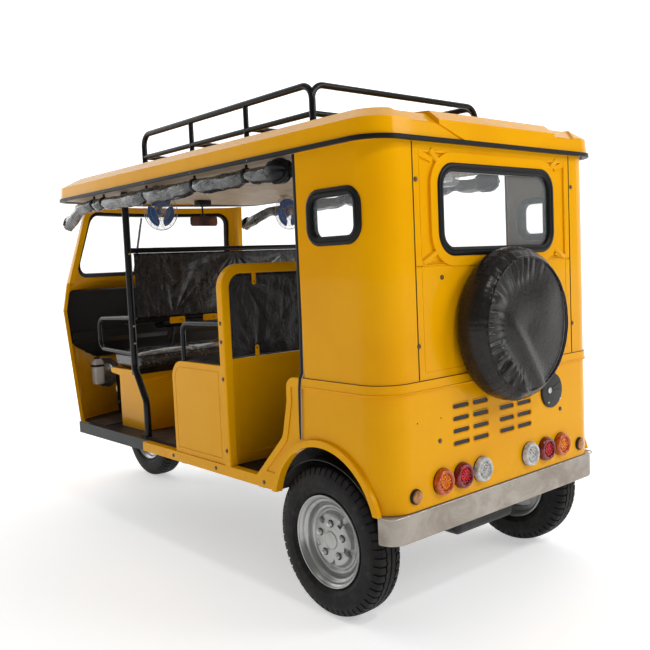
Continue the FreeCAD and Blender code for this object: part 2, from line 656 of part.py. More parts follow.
def windscreen_frame():
    """Pillars, header and scuttle rail round the windscreen."""
    shell = screen_shell(0, 30)
    (low, _, foot, _), (high, _, head, _) = SCREEN
    rear = NOSE_BACK + 90
    side = slab([(foot + 62, low - 1), (head + 53, high + 16), (rear, high + 16), (rear, low - 1)],
                "yz", -FAR, 2 * FAR)
    return feature("windscreen_frame", shell.cut(side).cut(screen_window(0)))


def dash_panel():
    """Moulded dash that fills the nose behind the cowl, hollow underneath."""
    clear, half = S.wall + S.seat_gap, S.body_half - S.dash_inset
    front = nose_block(NOSE, clear, 40)
    face, top, shelf = S.dash_face - S.wheelbase, S.floor_top + S.dash_rise, S.floor_top + S.dash_shelf
    foot = S.floor_top + S.dash_foot
    side = slab([(face, top, 20), (face, shelf + 20, 20), (face + 34, shelf + 8, 8), (face + 34, shelf - 30, 12),
                 (face - 4, shelf - 60, 20), (face - 58, foot, 20), (-FAR, foot), (-FAR, top)],
                "yz", -half, 2 * half)
    return feature("dash_panel", front.common(side))


# ---- doors, posts and partition

def panel_outline(inset, corner):
    """The half-height side panel, seen from the side, drawn in by an inset."""
    front, rear = S.partition - S.panel_front_gap + inset, S.hoop_face - S.seat_gap - inset
    low, high = S.sill_top + S.seat_gap + inset, S.floor_top + S.panel_rise - inset
    small = max(corner - S.panel_corner + 8, 0) if inset else 0
    return [(front, low, small), (front, high, corner), (rear, high, small), (rear, low, small)]


def side_panels():
    """Half-height panels beside the passenger seat, with a pressed line inside the border."""
    skin = S.body_half - S.panel_set_in
    plate = slab(panel_outline(0, S.panel_corner), "yz", skin - S.panel_thick, S.panel_thick)
    turn = S.panel_corner - S.panel_border
    line = slab(panel_outline(S.panel_border, turn), "yz", skin - S.groove, 2 * S.groove)
    line = line.cut(slab(panel_outline(S.panel_border + S.groove, turn - S.groove), "yz", skin - 10, 20))
    return feature("side_panels", together(pair(plate.cut(line))))


def driver_posts():
    """Bent posts behind the driver, the bars between them and the roof's side rails."""
    x, y, top = S.post_half, S.post_line, S.eaves - S.seat_gap
    foot, knee, kick = S.floor_top + S.mat_thick + S.seat_gap, S.floor_top + S.post_knee, y + S.post_kick
    post = pipe([(x, y, top), (x, y, knee), (x, kick, knee - 160), (x, kick, foot)], S.post_radius, 60)
    bars = [rod(S.post_bar_radius, (-x, y, S.floor_top + rise), (x, y, S.floor_top + rise))
            for rise in (S.post_bar_high, S.post_bar_low)]
    cross = block(-x - 10, x + 10, y - 14, y + 14, S.driver_seat - 11, S.driver_seat + 17)
    return feature("driver_posts", joined(pair(post) + bars + [cross]))


def cabin_screens():
    """Sheets behind the driver and in the partition's hoop."""
    half, reach = S.screen_sheet / 2, S.post_bar_radius + S.seat_gap
    side = S.post_half - 30
    front = block(-side, side, S.post_line - half, S.post_line + half,
                  S.floor_top + S.post_bar_low + reach, S.floor_top + S.post_bar_high - reach)
    side, turn = S.hoop_in - 1, S.hoop_corner - S.hoop_tube + 12
    low, high = S.floor_top + S.partition_panel_rise + S.seat_gap, S.partition_top - S.hoop_tube - 1
    rear = slab([(-side, low), (side, low), (side, high, turn), (-side, high, turn)],
                "xz", S.partition - half, S.screen_sheet)
    return feature("cabin_screens", together([front, rear]))


def partition_frame():
    """Square tube hoop behind the passenger seat."""
    foot, turn = S.sill_top + S.seat_gap, S.hoop_corner

    def arch(half, top, turn, low):
        return slab([(-half, low), (-half, top, turn), (half, top, turn), (half, low)],
                    "xz", S.hoop_face, S.hoop_tube)

    hoop = arch(S.hoop_out, S.partition_top, turn, foot).cut(
        arch(S.hoop_in, S.partition_top - S.hoop_tube, turn - S.hoop_tube, foot - 1))
    edges = [e for e in hoop.Edges if e.BoundBox.YLength < 0.01 and e.BoundBox.ZMax > foot + 1]
    return feature("partition_frame", hoop.makeFillet(S.hoop_edge, edges))


def partition_panel():
    """Lower panel between the hoop's legs, its field pressed in behind a border."""
    half, thick = S.hoop_in - S.seat_gap, S.panel_thick
    low, high = S.sill_top + S.seat_gap, S.floor_top + S.partition_panel_rise
    sheet_part = slab(window(-half, half, low, high, 1), "xz", S.partition - thick / 2, thick)
    border = S.panel_border
    field = slab(window(-half + border, half - border, low + border + 14, high - border, 6),
                 "xz", S.partition + thick / 2 - S.panel_sink, S.panel_sink + 1)
    return feature("partition_panel", sheet_part.cut(field))


# ---- seats

def driver_seat_pan():
    """Folded pan and pedestal under the driver's bench."""
    half, seat, rear = S.post_half - 32, S.driver_seat, S.driver_seat_rear - 5
    front = rear - S.driver_seat_depth + 10
    pan = slab([(front, seat - 26, 14), (front, seat), (rear, seat), (rear, seat - 56, 14)],
               "yz", -half, 2 * half)
    wall, low = 16, S.floor_top + S.seat_gap
    side, near, back = half - 30, front + 35, rear - 18
    stand = block(-side, side, near, back, low, seat - 40)
    hollow = block(wall - side, side - wall, near + wall, back - 70, low - 20, seat - 54)
    return feature("driver_seat_pan", joined([pan, stand]).cut(hollow))


def passenger_seat_base():
    """Sheet box that carries the passenger bench."""
    half, metal = S.body_half - S.bench_base_inset, S.seat_sheet
    front, rear = S.bench_front + 50, S.partition - 45
    shell = block(-half, half, front, rear, S.floor_top + S.seat_gap, S.bench_seat)
    hollow = block(metal - half, half - metal, front + metal, rear + metal, 0, S.bench_seat - metal)
    return feature("passenger_seat_base", shell.cut(hollow))


def driver_cushion():
    half = S.post_half - S.driver_seat_inset
    rear, seat = S.driver_seat_rear, S.driver_seat
    return cushion("driver_cushion", -half, half, rear - S.driver_seat_depth, rear,
                   seat + S.seat_gap, seat + S.driver_cushion_thick, S.cushion_edge)


def passenger_cushion():
    half = S.body_half - S.bench_inset
    return cushion("passenger_cushion", -half, half, S.bench_front, S.partition - S.bench_rear_gap,
                   S.bench_seat + S.seat_gap, S.bench_seat + S.bench_thick, S.cushion_edge)


def passenger_backrest():
    half, low = S.body_half - S.back_inset, S.floor_top + S.partition_panel_rise + S.seat_gap
    rear, top = S.partition - S.screen_sheet / 2, S.partition_top - S.back_top_drop
    return cushion("passenger_backrest", -half, half, rear - S.back_thick, rear - S.seat_gap, low, top,
                   S.cushion_edge)


# ---- rear body

def plan(inset, front, corner=None):
    """Plan outline of the rear body, open towards the front."""
    half, rear = S.body_half - inset, S.rear_face - inset
    radius = (corner or S.body_corner) - inset
    return [(half, front), (half, rear, radius), (-half, rear, radius), (-half, front)]


def rear_wall(front, low, high, grow=0.0, wall=None):
    outer = slab(plan(-grow, front), "xy", low, high - low)
    return outer.cut(slab(plan(wall or S.wall, front - 50), "xy", low - 1, high - low + 2))


def tub_door(grow=0.0):
    """What stays open ahead of the tub, seen from the side; grow widens it."""
    front, chest = S.rear_face - S.tub_depth, S.quarter_front - S.tub_nose
    ahead, above, shelf = front - 60, S.belt + 9, S.quarter_front - 23
    points = [(ahead, 0), (S.sill_rear, 0), (S.sill_rear, S.sill_top), (front, S.sill_top),
              (chest - S.tub_lean, S.sill_top + S.tub_knee, 60), (chest, S.belt - S.tub_chest, 40),
              (chest, S.belt, 50), (shelf, S.belt), (shelf, above), (ahead, above)]
    face = Part.Face(outline(points, "yz", -FAR))
    if grow:
        face = face.makeOffset2D(grow)
    return face.extrude(V(2 * FAR, 0, 0))


def tail_slots():
    """Round-ended vents in two groups, two columns by four rows each."""
    cuts, length, height = [], S.slot_length, S.slot_height
    turn = height / 2 - 0.01
    for column in (0, S.slot_column, S.slot_group, S.slot_group + S.slot_column):
        x = S.slot_side - column - length / 2
        for row in range(4):
            z = S.tub_bottom + S.slot_rise - row * S.slot_step - height / 2
            slot = window(x, x + length, z, z + height, turn)
            cuts.append(slab(slot, "xz", S.rear_face - 2 * S.wall, 4 * S.wall))
    return cuts


def bracket_screws():
    level, back = S.tub_bottom + S.bracket_rise, S.rear_face - 2 * S.wall
    return [rod(S.screw_radius, (x, back, level), (x, back + 4 * S.wall, level))
            for x in (S.bracket_side - S.bracket_spacing / 2, S.bracket_side + S.bracket_spacing / 2)]


def rear_tub():
    """Lower rear body: belt band, lipped door edge, wheel arches with lips, and the slotted tail."""
    front = S.rear_face - S.tub_depth
    tub = rear_wall(front, S.tub_bottom, S.belt)
    band = rear_wall(front, S.belt - S.belt_band, S.belt, S.belt_raise)
    skin = rear_wall(front - 40, S.tub_bottom, S.belt, S.tub_lip_raise, 1)
    flanks = skin.cut(block(-FAR, FAR, S.rear_face / 2, FAR, 0, FAR))
    lips = [flanks.common(tub_door(S.tub_lip))]
    for side in (1, -1):
        x = side * (S.body_half - 4)
        lips.append(rod(S.arch_radius + S.arch_lip, (x, S.arch_back, S.arch_level),
                        (side * (S.body_half + S.arch_lip_raise), S.arch_back, S.arch_level)))
    shape = tub.fuse(band).multiFuse(lips)
    arch = rod(S.arch_radius, (-FAR, S.arch_back, S.arch_level), (FAR, S.arch_back, S.arch_level))
    cuts = [tub_door(), arch, block(-FAR, FAR, -FAR, FAR, 0, S.tub_bottom),
            block(-FAR, FAR, S.rear_face - 100, FAR, 0, S.bumper_high + 3)]
    cuts += tail_slots() + bracket_screws()
    return feature("rear_tub", shape.cut(cuts).removeSplitter())


def engine_bay():
    """Sloped bulkhead, luggage deck and the rear wheels' housings."""
    metal, half = S.bay_sheet, S.body_half - S.wall - 1
    top, chest = S.belt - 12, S.quarter_front - S.tub_nose - 3
    front, knee, rear = S.rear_face - S.tub_depth + 9, S.sill_top + S.tub_knee, S.rear_face - S.wall - 2
    lean = chest - S.tub_lean + 1
    foot = S.floor_top + 4
    sheet_part = slab([(front, foot), (front - metal, foot), (lean, knee, 30), (chest, top, 30), (rear, top),
                       (rear, top - metal), (chest + metal, top - metal, 25), (lean + metal, knee, 25)],
                      "yz", -half, 2 * half)
    sheet_part = sheet_part.common(slab(plan(S.wall + 1, -FAR), "xy", 0, FAR))
    inner = S.wheel_radius + S.house_gap
    outer, x0, x1 = inner + S.rim_sheet, S.track_half - S.tyre_width / 2 - S.house_gap - 2, half
    shell = Part.makeCylinder(outer, x1 - x0, V(x0, 0, S.wheel_radius), V(1, 0, 0))
    shell = shell.cut(Part.makeCylinder(inner, x1 - x0, V(x0 + S.rim_sheet, 0, S.wheel_radius), V(1, 0, 0)))
    shell = shell.cut(block(0, FAR, -FAR, FAR, -FAR, S.tub_bottom))
    houses = pair(shell)
    hanger = [block(x - 12, x + 12, -14, 14, S.wheel_radius + outer - 2, top) for x in (x0 + 40, -x0 - 40)]
    return feature("engine_bay", joined([sheet_part] + houses + hanger))


def seam_grooves():
    """Upright grooves where the rear panel meets the corner panels."""
    wide, face = S.seam_width / 2, S.rear_face
    groove = block(S.seam_half - wide, S.seam_half + wide, face - S.seam_depth, face + 1, 0, FAR)
    return pair(groove)


def quarter_panels():
    """Upper rear corners with the side windows."""
    wall = rear_wall(S.quarter_front, S.belt, S.eaves)
    middle = block(-S.seam_half, S.seam_half, 0, FAR, 0, FAR)
    hole = slab(side_window(S.seal_seat), "yz", -FAR, 2 * FAR)
    return feature("quarter_panels", wall.cut([middle, hole] + seam_grooves()))


def side_window(inset):
    front, top = S.quarter_front + S.side_window_front, S.eaves - S.side_window_drop
    return window(front + inset, front + S.side_window_length - inset, top - S.side_window_height + inset,
                  top - inset, S.side_window_corner - inset)


def tail_window(inset):
    half, top = S.tail_window_half - inset, S.eaves - S.tail_window_drop
    return window(-half, half, top - S.tail_window_height + inset, top - inset, S.tail_window_corner - inset)


def rear_panel():
    """Upper panel between the seams: sunk field, raised window frame with corner ribs, spare wheel's boss."""
    face, sink, lift = S.rear_face, S.field_sink, S.frame_raise
    wall = rear_wall(S.quarter_front, S.belt, S.eaves)
    middle = block(-S.seam_half, S.seam_half, 0, FAR, 0, FAR)
    hole = slab(tail_window(S.seal_seat), "xz", 0, FAR)
    half, high, low = S.seam_half - S.field_inset, S.eaves - S.field_inset, S.eaves - S.field_low_drop
    field = slab(window(-half, half, low, high, 14), "xz", face - sink, 40)
    rim_out, rim_in = tail_window(-S.frame_width), tail_window(-1)
    field = field.cut(slab(rim_out, "xz", 0, FAR))
    ribs, wide, turn = [], S.rib_width, S.tail_window_corner * 0.29
    for z, corner, up in ((high, rim_out[2], 1), (low, rim_out[1], -1)):
        a, b = corner[0] - turn, corner[1] - up * turn
        rib = slab([(a, b), (a + wide, b - up * wide), (half + 2, z - up * wide), (half + 2, z + up * 2),
                    (half - wide, z + up * 2)], "xz", face - sink - 1, sink + 1)
        ribs += pair(rib)
    frame = slab(rim_out, "xz", face - 4, 4 + lift).cut(slab(rim_in, "xz", 0, FAR))
    line = low - S.belt_seam
    seam = block(-S.seam_half, S.seam_half, face - sink, face + 40, line, line + S.seam_width)
    boss = rod(S.boss_radius, (S.cover_offset, face - 4, S.cover_height),
               (S.cover_offset, face + S.cover_stand - S.seat_gap, S.cover_height))
    panel = wall.common(middle).cut([hole, field, seam] + seam_grooves())
    return feature("rear_panel", joined([panel, frame, boss] + ribs))


def tail_glass(thick):
    """The rear pane."""
    middle = S.rear_face - S.wall / 2 - thick / 2
    return slab(tail_window(S.glass_inset), "xz", middle, thick)


def side_glass(thick):
    return pair(slab(side_window(S.glass_inset), "yz", S.body_half - S.wall / 2 - thick / 2, thick))


def screen_glass():
    inset = S.wall / 2 + 3
    return screen_shell(inset, inset + S.glass_thick + 1).common(screen_window(S.glass_inset - 9))


def window_glass():
    """Windscreen, rear and side glass."""
    panes = [tail_glass(S.glass_thick), screen_glass()] + side_glass(S.glass_thick)
    return feature("window_glass", together(panes))


def seal(outer, inner, plane, face):
    """A rubber channel: a ring that overlaps the panel and holds the glass."""
    lip, wall = S.seal_lip, S.wall
    low = face - wall - lip
    ring = slab(outer, plane, low, wall + 2 * lip)
    return ring.cut(slab(inner, plane, low - 1, wall + 2 * lip + 2))


def window_seals():
    """Rubber round every window."""
    wall = rear_wall(S.quarter_front, S.belt, S.eaves)
    glass = [tail_glass(S.glass_thick)] + side_glass(S.glass_thick)
    holes = [slab(tail_window(S.seal_seat), "xz", 0, FAR),
             slab(side_window(S.seal_seat), "yz", -FAR, 2 * FAR)]
    panel = wall.cut(holes)
    rings = [seal(tail_window(0), tail_window(S.seal_width), "xz", S.rear_face)]
    rings += pair(seal(side_window(0), side_window(S.seal_width), "yz", S.body_half))
    ring = screen_shell(-3, 33).common(screen_window(-8).cut(screen_window(20)))
    ring = ring.cut(screen_shell(0, 30).cut(screen_window(0))).cut(screen_glass())
    return feature("window_seals", together([r.cut([panel] + glass) for r in rings] + [ring]))


# ---- roof

def roof_outline(level, half, rear, front, inset=0.0):
    """Plan outline of the roof at one level, its front bowed in step with its width."""
    share = half / S.roof_half
    half, rear, front = half - inset, rear - inset, front + inset
    tip = front - (S.roof_front - S.roof_nose + 25) * share
    corner = S.roof_corner * share - inset
    return outline([(half, rear, corner), (-half, rear, corner), (-half, front, corner),
                    (0, tip, S.roof_bow * share), (half, front, corner)], "xy", level)


def roof_block(inset=0.0, drop=0.0):
    """The roof's solid form: brim, sloped band up to the ridge, low crown."""
    foot, half = S.roof_foot, S.roof_half
    steps = ((foot, half, 0, 0), (foot + S.roof_brim, half - S.brim_inset, S.brim_inset, S.brim_inset),
             (foot + S.roof_ridge, half - S.ridge_inset, S.ridge_inset, S.ridge_front),
             (S.roof_crown, half - S.crown_inset, S.crown_ends, S.crown_ends + S.ridge_front))
    wires = [roof_outline(level - drop, wide, S.roof_rear - back, S.roof_front + ahead, inset)
             for level, wide, back, ahead in steps]
    return Part.makeLoft(wires, True, True)


def roof_pressings():
    """The tail's raised middle and the sunk parts beside it, as two prisms over the rear slope."""
    brim, ridge, start = S.roof_foot + S.roof_brim - 10, S.roof_foot + S.roof_ridge, S.roof_rear - 220
    inner, outer = S.pressing_half, S.pressing_half + S.pressing_width
    above, foot, narrow = ridge + 60, S.gutter_rise + S.roof_foot, inner - 125
    raised = [(-narrow, foot), (narrow, foot), (inner, brim), (inner, above), (-inner, above), (-inner, brim)]
    sunk = [(inner, brim), (outer - 20, brim), (outer + 30, ridge), (outer + 30, above), (inner, above)]
    return slab(raised, "xz", start, 400), slab(sunk, "xz", start, 400)


def roof_panel():
    """Moulded roof shell with a tall brim, a low crown and a pressed tail."""
    inner = roof_block(S.roof_wall, S.roof_wall)
    raised, sunk = roof_pressings()
    deep = S.pressing_depth
    shell = roof_block().cut([solid.cut(roof_block(deep, deep)) for solid in pair(sunk)])
    shell = shell.fuse(roof_block(-deep, -deep).common(raised))
    return feature("roof_panel", shell.cut(inner).removeSplitter())


def roof_gutter():
    """Rubber rain channel all round the roof's edge."""
    low, high = S.roof_foot - S.gutter_drop, S.roof_foot + S.gutter_rise
    outer = Part.Face(roof_outline(low, S.roof_half, S.roof_rear, S.roof_front, -S.gutter_out))
    inner = Part.Face(roof_outline(low, S.roof_half, S.roof_rear, S.roof_front, S.gutter_in))
    ring = outer.extrude(V(0, 0, high - low)).cut(inner.extrude(V(0, 0, high - low)))
    return feature("roof_gutter", ring.cut(roof_block()))


def headliner():
    """Lining under the roof."""
    half, back, turn = S.roof_half - S.gutter_in - S.seat_gap, 30, S.roof_corner - 18
    points = [(half, S.roof_rear - back, turn), (half, S.roof_front + back, turn),
              (-half, S.roof_front + back, turn), (-half, S.roof_rear - back, turn)]
    return feature("headliner", slab(points, "xy", S.eaves, S.lining_thick))


def roof_rack():
    """Tube luggage rack: two hooped side frames, a hooped tail and cross rails."""
    x, low, high, front, rear = S.rack_half, S.rack_low, S.rack_high, S.rack_front, S.rack_rear
    radius, rail, bend = S.rack_tube, S.rack_rail, S.rack_corner
    ridge_half, ridge = S.roof_half - S.ridge_inset, S.roof_foot + S.roof_ridge
    slope = S.crown_rise / (S.crown_inset - S.ridge_inset)
    deck = ridge + (ridge_half - x + radius) * slope + S.seat_gap
    side = [pipe([(x, front, deck), (x, front, high), (x, rear, high), (x, rear, deck)], radius, bend)]
    side.append(rod(rail, (x, front, low), (x, rear, low)))
    for share in (0.34, 0.67):
        y = front + (rear - front) * share
        side.append(rod(rail, (x, y, deck), (x, y, high)))
    tail = pipe([(x, rear, low), (x, rear, high), (-x, rear, high), (-x, rear, low)], radius - 1, bend)
    cross = [rod(rail, (-x, y, low), (x, y, low)) for y in (front, front + (rear - front) * 0.36,
                                                            front + (rear - front) * 0.70, rear)]
    sides = side + [flip(s) for s in side]
    return feature("roof_rack", joined(sides + [tail] + cross))


# ---- tail

def rear_bumper():
    """Pressed channel bumper that wraps the rear corners."""
    half, face, low, high = S.bumper_half, S.bumper_face, S.bumper_low, S.bumper_high
    metal, end = S.bumper_sheet, S.bumper_face - S.bumper_wrap

    def wrap(inset, low, high):
        turn = S.bumper_corner - inset
        points = [(half - inset, end), (half - inset, face - inset, turn),
                  (inset - half, face - inset, turn), (inset - half, end)]
        return slab(points, "xy", low, high - low)

    solid = wrap(0, low, high)
    long_edges = [e for e in solid.Edges if e.BoundBox.ZLength < 0.01 and e.BoundBox.YMax > end + 1]
    outer = solid.makeFillet(S.bumper_edge, long_edges)
    inner = wrap(metal, low + metal, high - metal)
    middle = wrap(S.bumper_flange, low - 1, high + 1)
    ends = block(-half - 10, half + 10, end - 1, end + metal, low, high)
    rail_end = S.rear_face - 23 + S.seat_gap
    stay = block(S.rail_line - 20, S.rail_line + 20, rail_end, face - metal + 1, low + 30, high - 20)
    return feature("rear_bumper", joined([outer.cut([inner, middle, ends])] + pair(stay)))


def lens(x, z, radius, depth, seat):
    face = S.rear_face + seat
    rounded = rod(radius, (x, face, z), (x, face + depth, z))
    return rounded.makeFillet(min(S.lamp_edge, depth / 2), [e for e in rounded.Edges
                                                            if e.BoundBox.YMin > face + depth - 0.01])


def tail_lenses(place):
    return [lens(side * place, S.lamp_height, S.lamp_radius, S.lamp_depth, S.seat_gap) for side in (1, -1)]


def nose_face(x, z):
    """How far forward the nose's skin is at a place on it."""
    line = Part.makeLine(V(x, -FAR, z), V(x, NOSE_BACK - 20, z))
    return min(v.Y for v in NOSE_SKIN.common(line).Vertexes)


def front_lamps(radius, x, z, back, ahead):
    """A pair of round bars through the nose's skin."""
    face = nose_face(x, z)
    return pair(rod(radius, (x, face + back, z), (x, face - ahead, z)))


def head_lamps(grow, back, ahead=14.0, ring=True):
    radius = S.head_bezel_radius if ring else S.head_lamp_radius
    return front_lamps(radius + grow, S.head_lamp_side, S.floor_top + S.head_lamp_rise, back, ahead)


def corner_lamps(grow, back, ahead=20.0):
    radius, level = S.corner_lamp_radius + grow, S.floor_top + S.corner_lamp_rise
    return front_lamps(radius, S.corner_lamp_side, level, back, ahead)


def lamps_amber():
    level = S.tub_bottom + S.marker_rise
    markers = [lens(x, level, S.marker_radius, S.marker_depth, S.seat_gap) for x in (S.marker_side, -S.marker_side)]
    return feature("lamps_amber", together(tail_lenses(S.amber_side) + corner_lamps(0, 3) + markers))


def lamps_red():
    return feature("lamps_red", together(tail_lenses(S.red_side)))


def lamps_clear():
    half, top = S.cabin_lamp_half, S.eaves - S.seat_gap
    cabin = block(-half, half, S.rear_face - 310, S.rear_face - 220, top - S.cabin_lamp_depth, top)
    lamps = tail_lenses(S.clear_side) + head_lamps(0, 20, 24, False) + [cabin]
    return feature("lamps_clear", together(lamps))


def lamp_bezels():
    """Raised rings round the tail lamps and the headlamps."""
    rings, face = [], S.rear_face
    for place in (S.amber_side, S.red_side, S.clear_side):
        for side in (1, -1):
            ring = rod(S.bezel_radius, (side * place, face, S.lamp_height),
                       (side * place, face + S.bezel_depth, S.lamp_height))
            rings.append(ring.cut(rod(S.lamp_radius + S.seat_gap, (side * place, face - 1, S.lamp_height),
                                      (side * place, face + 40, S.lamp_height))))
    for outer, inner in zip(head_lamps(0, 26), head_lamps(S.bezel_gap, 60, 60, False)):
        rings.append(outer.cut(inner))
    return feature("lamp_bezels", together(rings))


def fuel_flap():
    """Round filler flap."""
    made = doc.addObject("Part::Cylinder", "fuel_flap")
    made.setExpression("Radius", S.flap_radius.text)
    made.setExpression("Height", S.flap_thick.text)
    keep(made, "fuel_flap", -S.flap_side, S.rear_face + S.seat_gap, S.tub_bottom + S.flap_rise)
    made.Placement = FreeCAD.Placement(made.Placement.Base, FreeCAD.Rotation(V(1, 0, 0), -90))
    return made


def spare_wheel_cover():
    """Vinyl cover of the spare wheel, hung on the rear panel."""
    made = body("spare_wheel_cover")
    radius, depth = S.cover_radius, S.cover_depth
    points = [(0, 0), (0, radius - 30), (18, radius - 6), (40, radius), (depth - 28, radius - 3),
              (depth - 8, radius - 16), (depth, radius - 40), (depth + S.cover_bulge, 0)]
    revolved(made, sketch(made, "XY_Plane", points, "cover_section"), "cover_form")
    keep(made, "spare_wheel_cover", S.cover_offset, S.rear_face + S.cover_stand, S.cover_height)
    made.Placement = FreeCAD.Placement(made.Placement.Base, FreeCAD.Rotation(V(0, 0, 1), 90))
    return made


# ---- running gear

def engine_block():
    """Engine and gearbox as one mass between the rails."""
    half, low = S.engine_half, S.wheel_radius - S.engine_low
    return cushion("engine_block", -half, half, -S.engine_front, S.engine_rear, low, low + S.engine_height,
                   S.engine_edge)


def rear_suspension():
    """Trailing arms with hub carriers, drive shafts and spring legs."""
    hub, rail = S.wheel_radius, S.rail_line + S.rail_half
    face = S.track_half - S.drum_back - 8
    low, top = S.floor_top - S.floor_sheet - S.rail_depth, S.floor_top + 152
    pivot, arm_z, seat_y, seat_x = -330, hub + 55, -130, face - 90
    pieces = [pipe([(rail + 44, pivot, arm_z), (rail + 114, pivot, arm_z), (face - 30, -40, hub + 6),
                    (face - 30, 40, hub)], 21, 30)]
    pieces.append(rod(46, (face - 48, 0, hub), (face, 0, hub)))
    inner = S.engine_half + S.seat_gap
    pieces.append(rod(S.axle_radius, (inner, 0, hub), (S.track_half + S.axle_reach, 0, hub)))
    pieces.append(rod(30, (inner + 1, 0, hub), (inner + 65, 0, hub)))
    pieces.append(rod(30, (face - 110, 0, hub), (face - 48, 0, hub)))
    pieces.append(rod(34, (face - 60, seat_y - 20, hub + 20), (seat_x, seat_y, S.floor_top + 60)))
    pieces.append(rod(12, (seat_x, seat_y, S.floor_top + 60), (seat_x - 10, seat_y + 6, top - 12)))
    pieces.append(block(rail + 14, seat_x + 10, seat_y - 20, seat_y + 30, top - 16, top))
    pieces.append(block(rail + 2, rail + 26, seat_y - 20, seat_y + 30, low + 2, top))
    pieces.append(block(rail + S.seat_gap, rail + 54, pivot - 30, pivot + 30, arm_z - 30, S.floor_top - 20))
    return feature("rear_suspension", together(pair(joined(pieces))))


# ---- cabin fittings

def curtain_rolls():
    """Side curtains rolled up under the lining, their front ends hanging down."""
    radius = S.curtain_radius
    x = S.roof_half - S.gutter_in - S.curtain_reach
    level = S.eaves - S.seat_gap - radius
    rear, front = S.quarter_front - S.curtain_rear_gap, S.roof_front + S.curtain_front_gap
    roll = pipe([(x, rear, level), (x, front, level), (x - 26, S.roof_front + 4, level - 80)], radius, 150)
    return feature("curtain_rolls", together(pair(roll)))


def hoop(centre, middle, wide, deep):
    """A flat ring round the fan's axis, seen square on."""
    ahead = V(0, 1, 0)
    start = centre - ahead * (deep / 2)
    return Part.makeCylinder(middle + wide / 2, deep, start, ahead).cut(
        Part.makeCylinder(middle - wide / 2, deep, start, ahead))


def cabin_fans():
    """Fan motors with their wire guards and stalks under the roof."""
    shapes = []
    wire, rear, guard, motor_radius = S.guard_wire, 24, S.guard_radius, S.motor_radius
    for side in (1, -1):
        centre = V(side * S.fan_half, S.fan_line, S.fan_height)
        motor = rod(motor_radius, centre + V(0, -62, 0), centre + V(0, -14, 0))
        top = S.eaves - S.seat_gap
        stalk = block(centre.x - 8, centre.x + 8, centre.y - 50, centre.y - 34, centre.z + 20, top)
        shaft = rod(4, centre + V(0, -16, 0), centre + V(0, -3, 0))
        front = hoop(centre, guard - wire / 2, wire, wire)
        back = hoop(centre + V(0, -rear, 0), guard * 0.55, wire, wire)
        spokes = []
        for k in range(6):
            strut = slab([(motor_radius - 4, -rear - 2), (guard - 20, -rear - 2), (guard - 1, 0),
                          (guard - wire, 0), (guard - 23, -rear + 2), (motor_radius - 4, -rear + 2)], "xy", -2, 4)
            strut.rotate(V(0, 0, 0), V(0, 1, 0), 60 * k)
            strut.translate(centre)
            spokes.append(strut)
        shapes.append(joined([motor, stalk, shaft, front, back] + spokes))
    return feature("cabin_fans", together(shapes))


def fan_blades(label, side):
    """Rotor with its blades and a boss."""
    made = body(label)
    section = [(4.05, -13.7), (22, -13.7), (22, 8), (14, 14), (0, 14), (0, -2.5), (4.05, -2.5)]
    revolved(made, sketch(made, "XY_Plane", section, f"{label}_boss"), f"{label}_hub", "V_Axis")
    root, tip = 12, S.guard_radius - 16
    corners = [(-root, root), (root, root), (tip * 0.62, tip * 0.70), (tip * 0.36, tip * 0.92), (0, tip),
               (tip * -0.36, tip * 0.92), (tip * -0.62, tip * 0.70)]
    blade = sketch(made, "XZ_Plane", corners, f"{label}_blade")
    sheet_part = padded(made, blade, Dim.of(3), f"{label}_sheet")
    ringed(made, sheet_part, "Y_Axis", S.blade_count, f"{label}_set")
    return keep(made, label, side * S.fan_half, S.fan_line, S.fan_height)


def interior_mirror():
    """Rear-view mirror on its stalk."""
    top, y = S.eaves - S.seat_gap, S.post_line - 316
    glass = block(-190, -10, y - 6, y + 10, S.eaves - 147, S.eaves - 90)
    stalk = rod(6, (-99, y, S.eaves - 92), (-99, y - 6, top))
    base = block(-140, -60, y - 26, y + 30, S.eaves - 40, top)
    return feature("interior_mirror", joined([glass, stalk, base]))


def screen_face(x, z):
    """How far forward the windscreen's skin is at a place on it."""
    line = Part.makeLine(V(x, -FAR, z), V(x, NOSE_BACK - 40, z))
    return min(v.Y for v in SCREEN_SKIN.common(line).Vertexes)


def wiper():
    """Single wiper, parked upright in front of the windscreen."""
    x, foot_z, head_z = 60, NOSE[2][0] + 10, HEADER[0] - 95
    foot, head = screen_face(x, foot_z), screen_face(x, head_z)
    arm = rod(5, (x, foot - 14, foot_z), (x, head - 14, head_z))
    low, high = foot_z + 88, head_z + 40
    blade = rod(6, (x, screen_face(x, low) - 10, low), (x, screen_face(x, high) - 10, high))
    spindle = rod(9, (x, foot - 4.2, foot_z), (x, foot - 18, foot_z))
    return feature("wiper", joined([arm, blade, spindle]))


def controls():
    """Foot pedals and the bent hand lever beside the driver."""
    floor, side = S.floor_top + S.mat_thick + S.seat_gap, S.well_half + 58
    y = S.well_back - 105
    lever = pipe([(side, y, floor), (side, y, floor + 60), (side + 30, y + 60, floor + 90),
                  (side + 90, y + 130, floor + 96)], 8, 16)
    pedal = pipe([(-side, y - 40, floor), (-side, y - 40, floor + 90), (-side, y + 5, floor + 105)], 7, 20)
    pad = block(-side - 35, -side + 35, y - 2, y + 12, floor + 80, floor + 130)
    return feature("controls", together([lever, joined([pedal, pad])]))


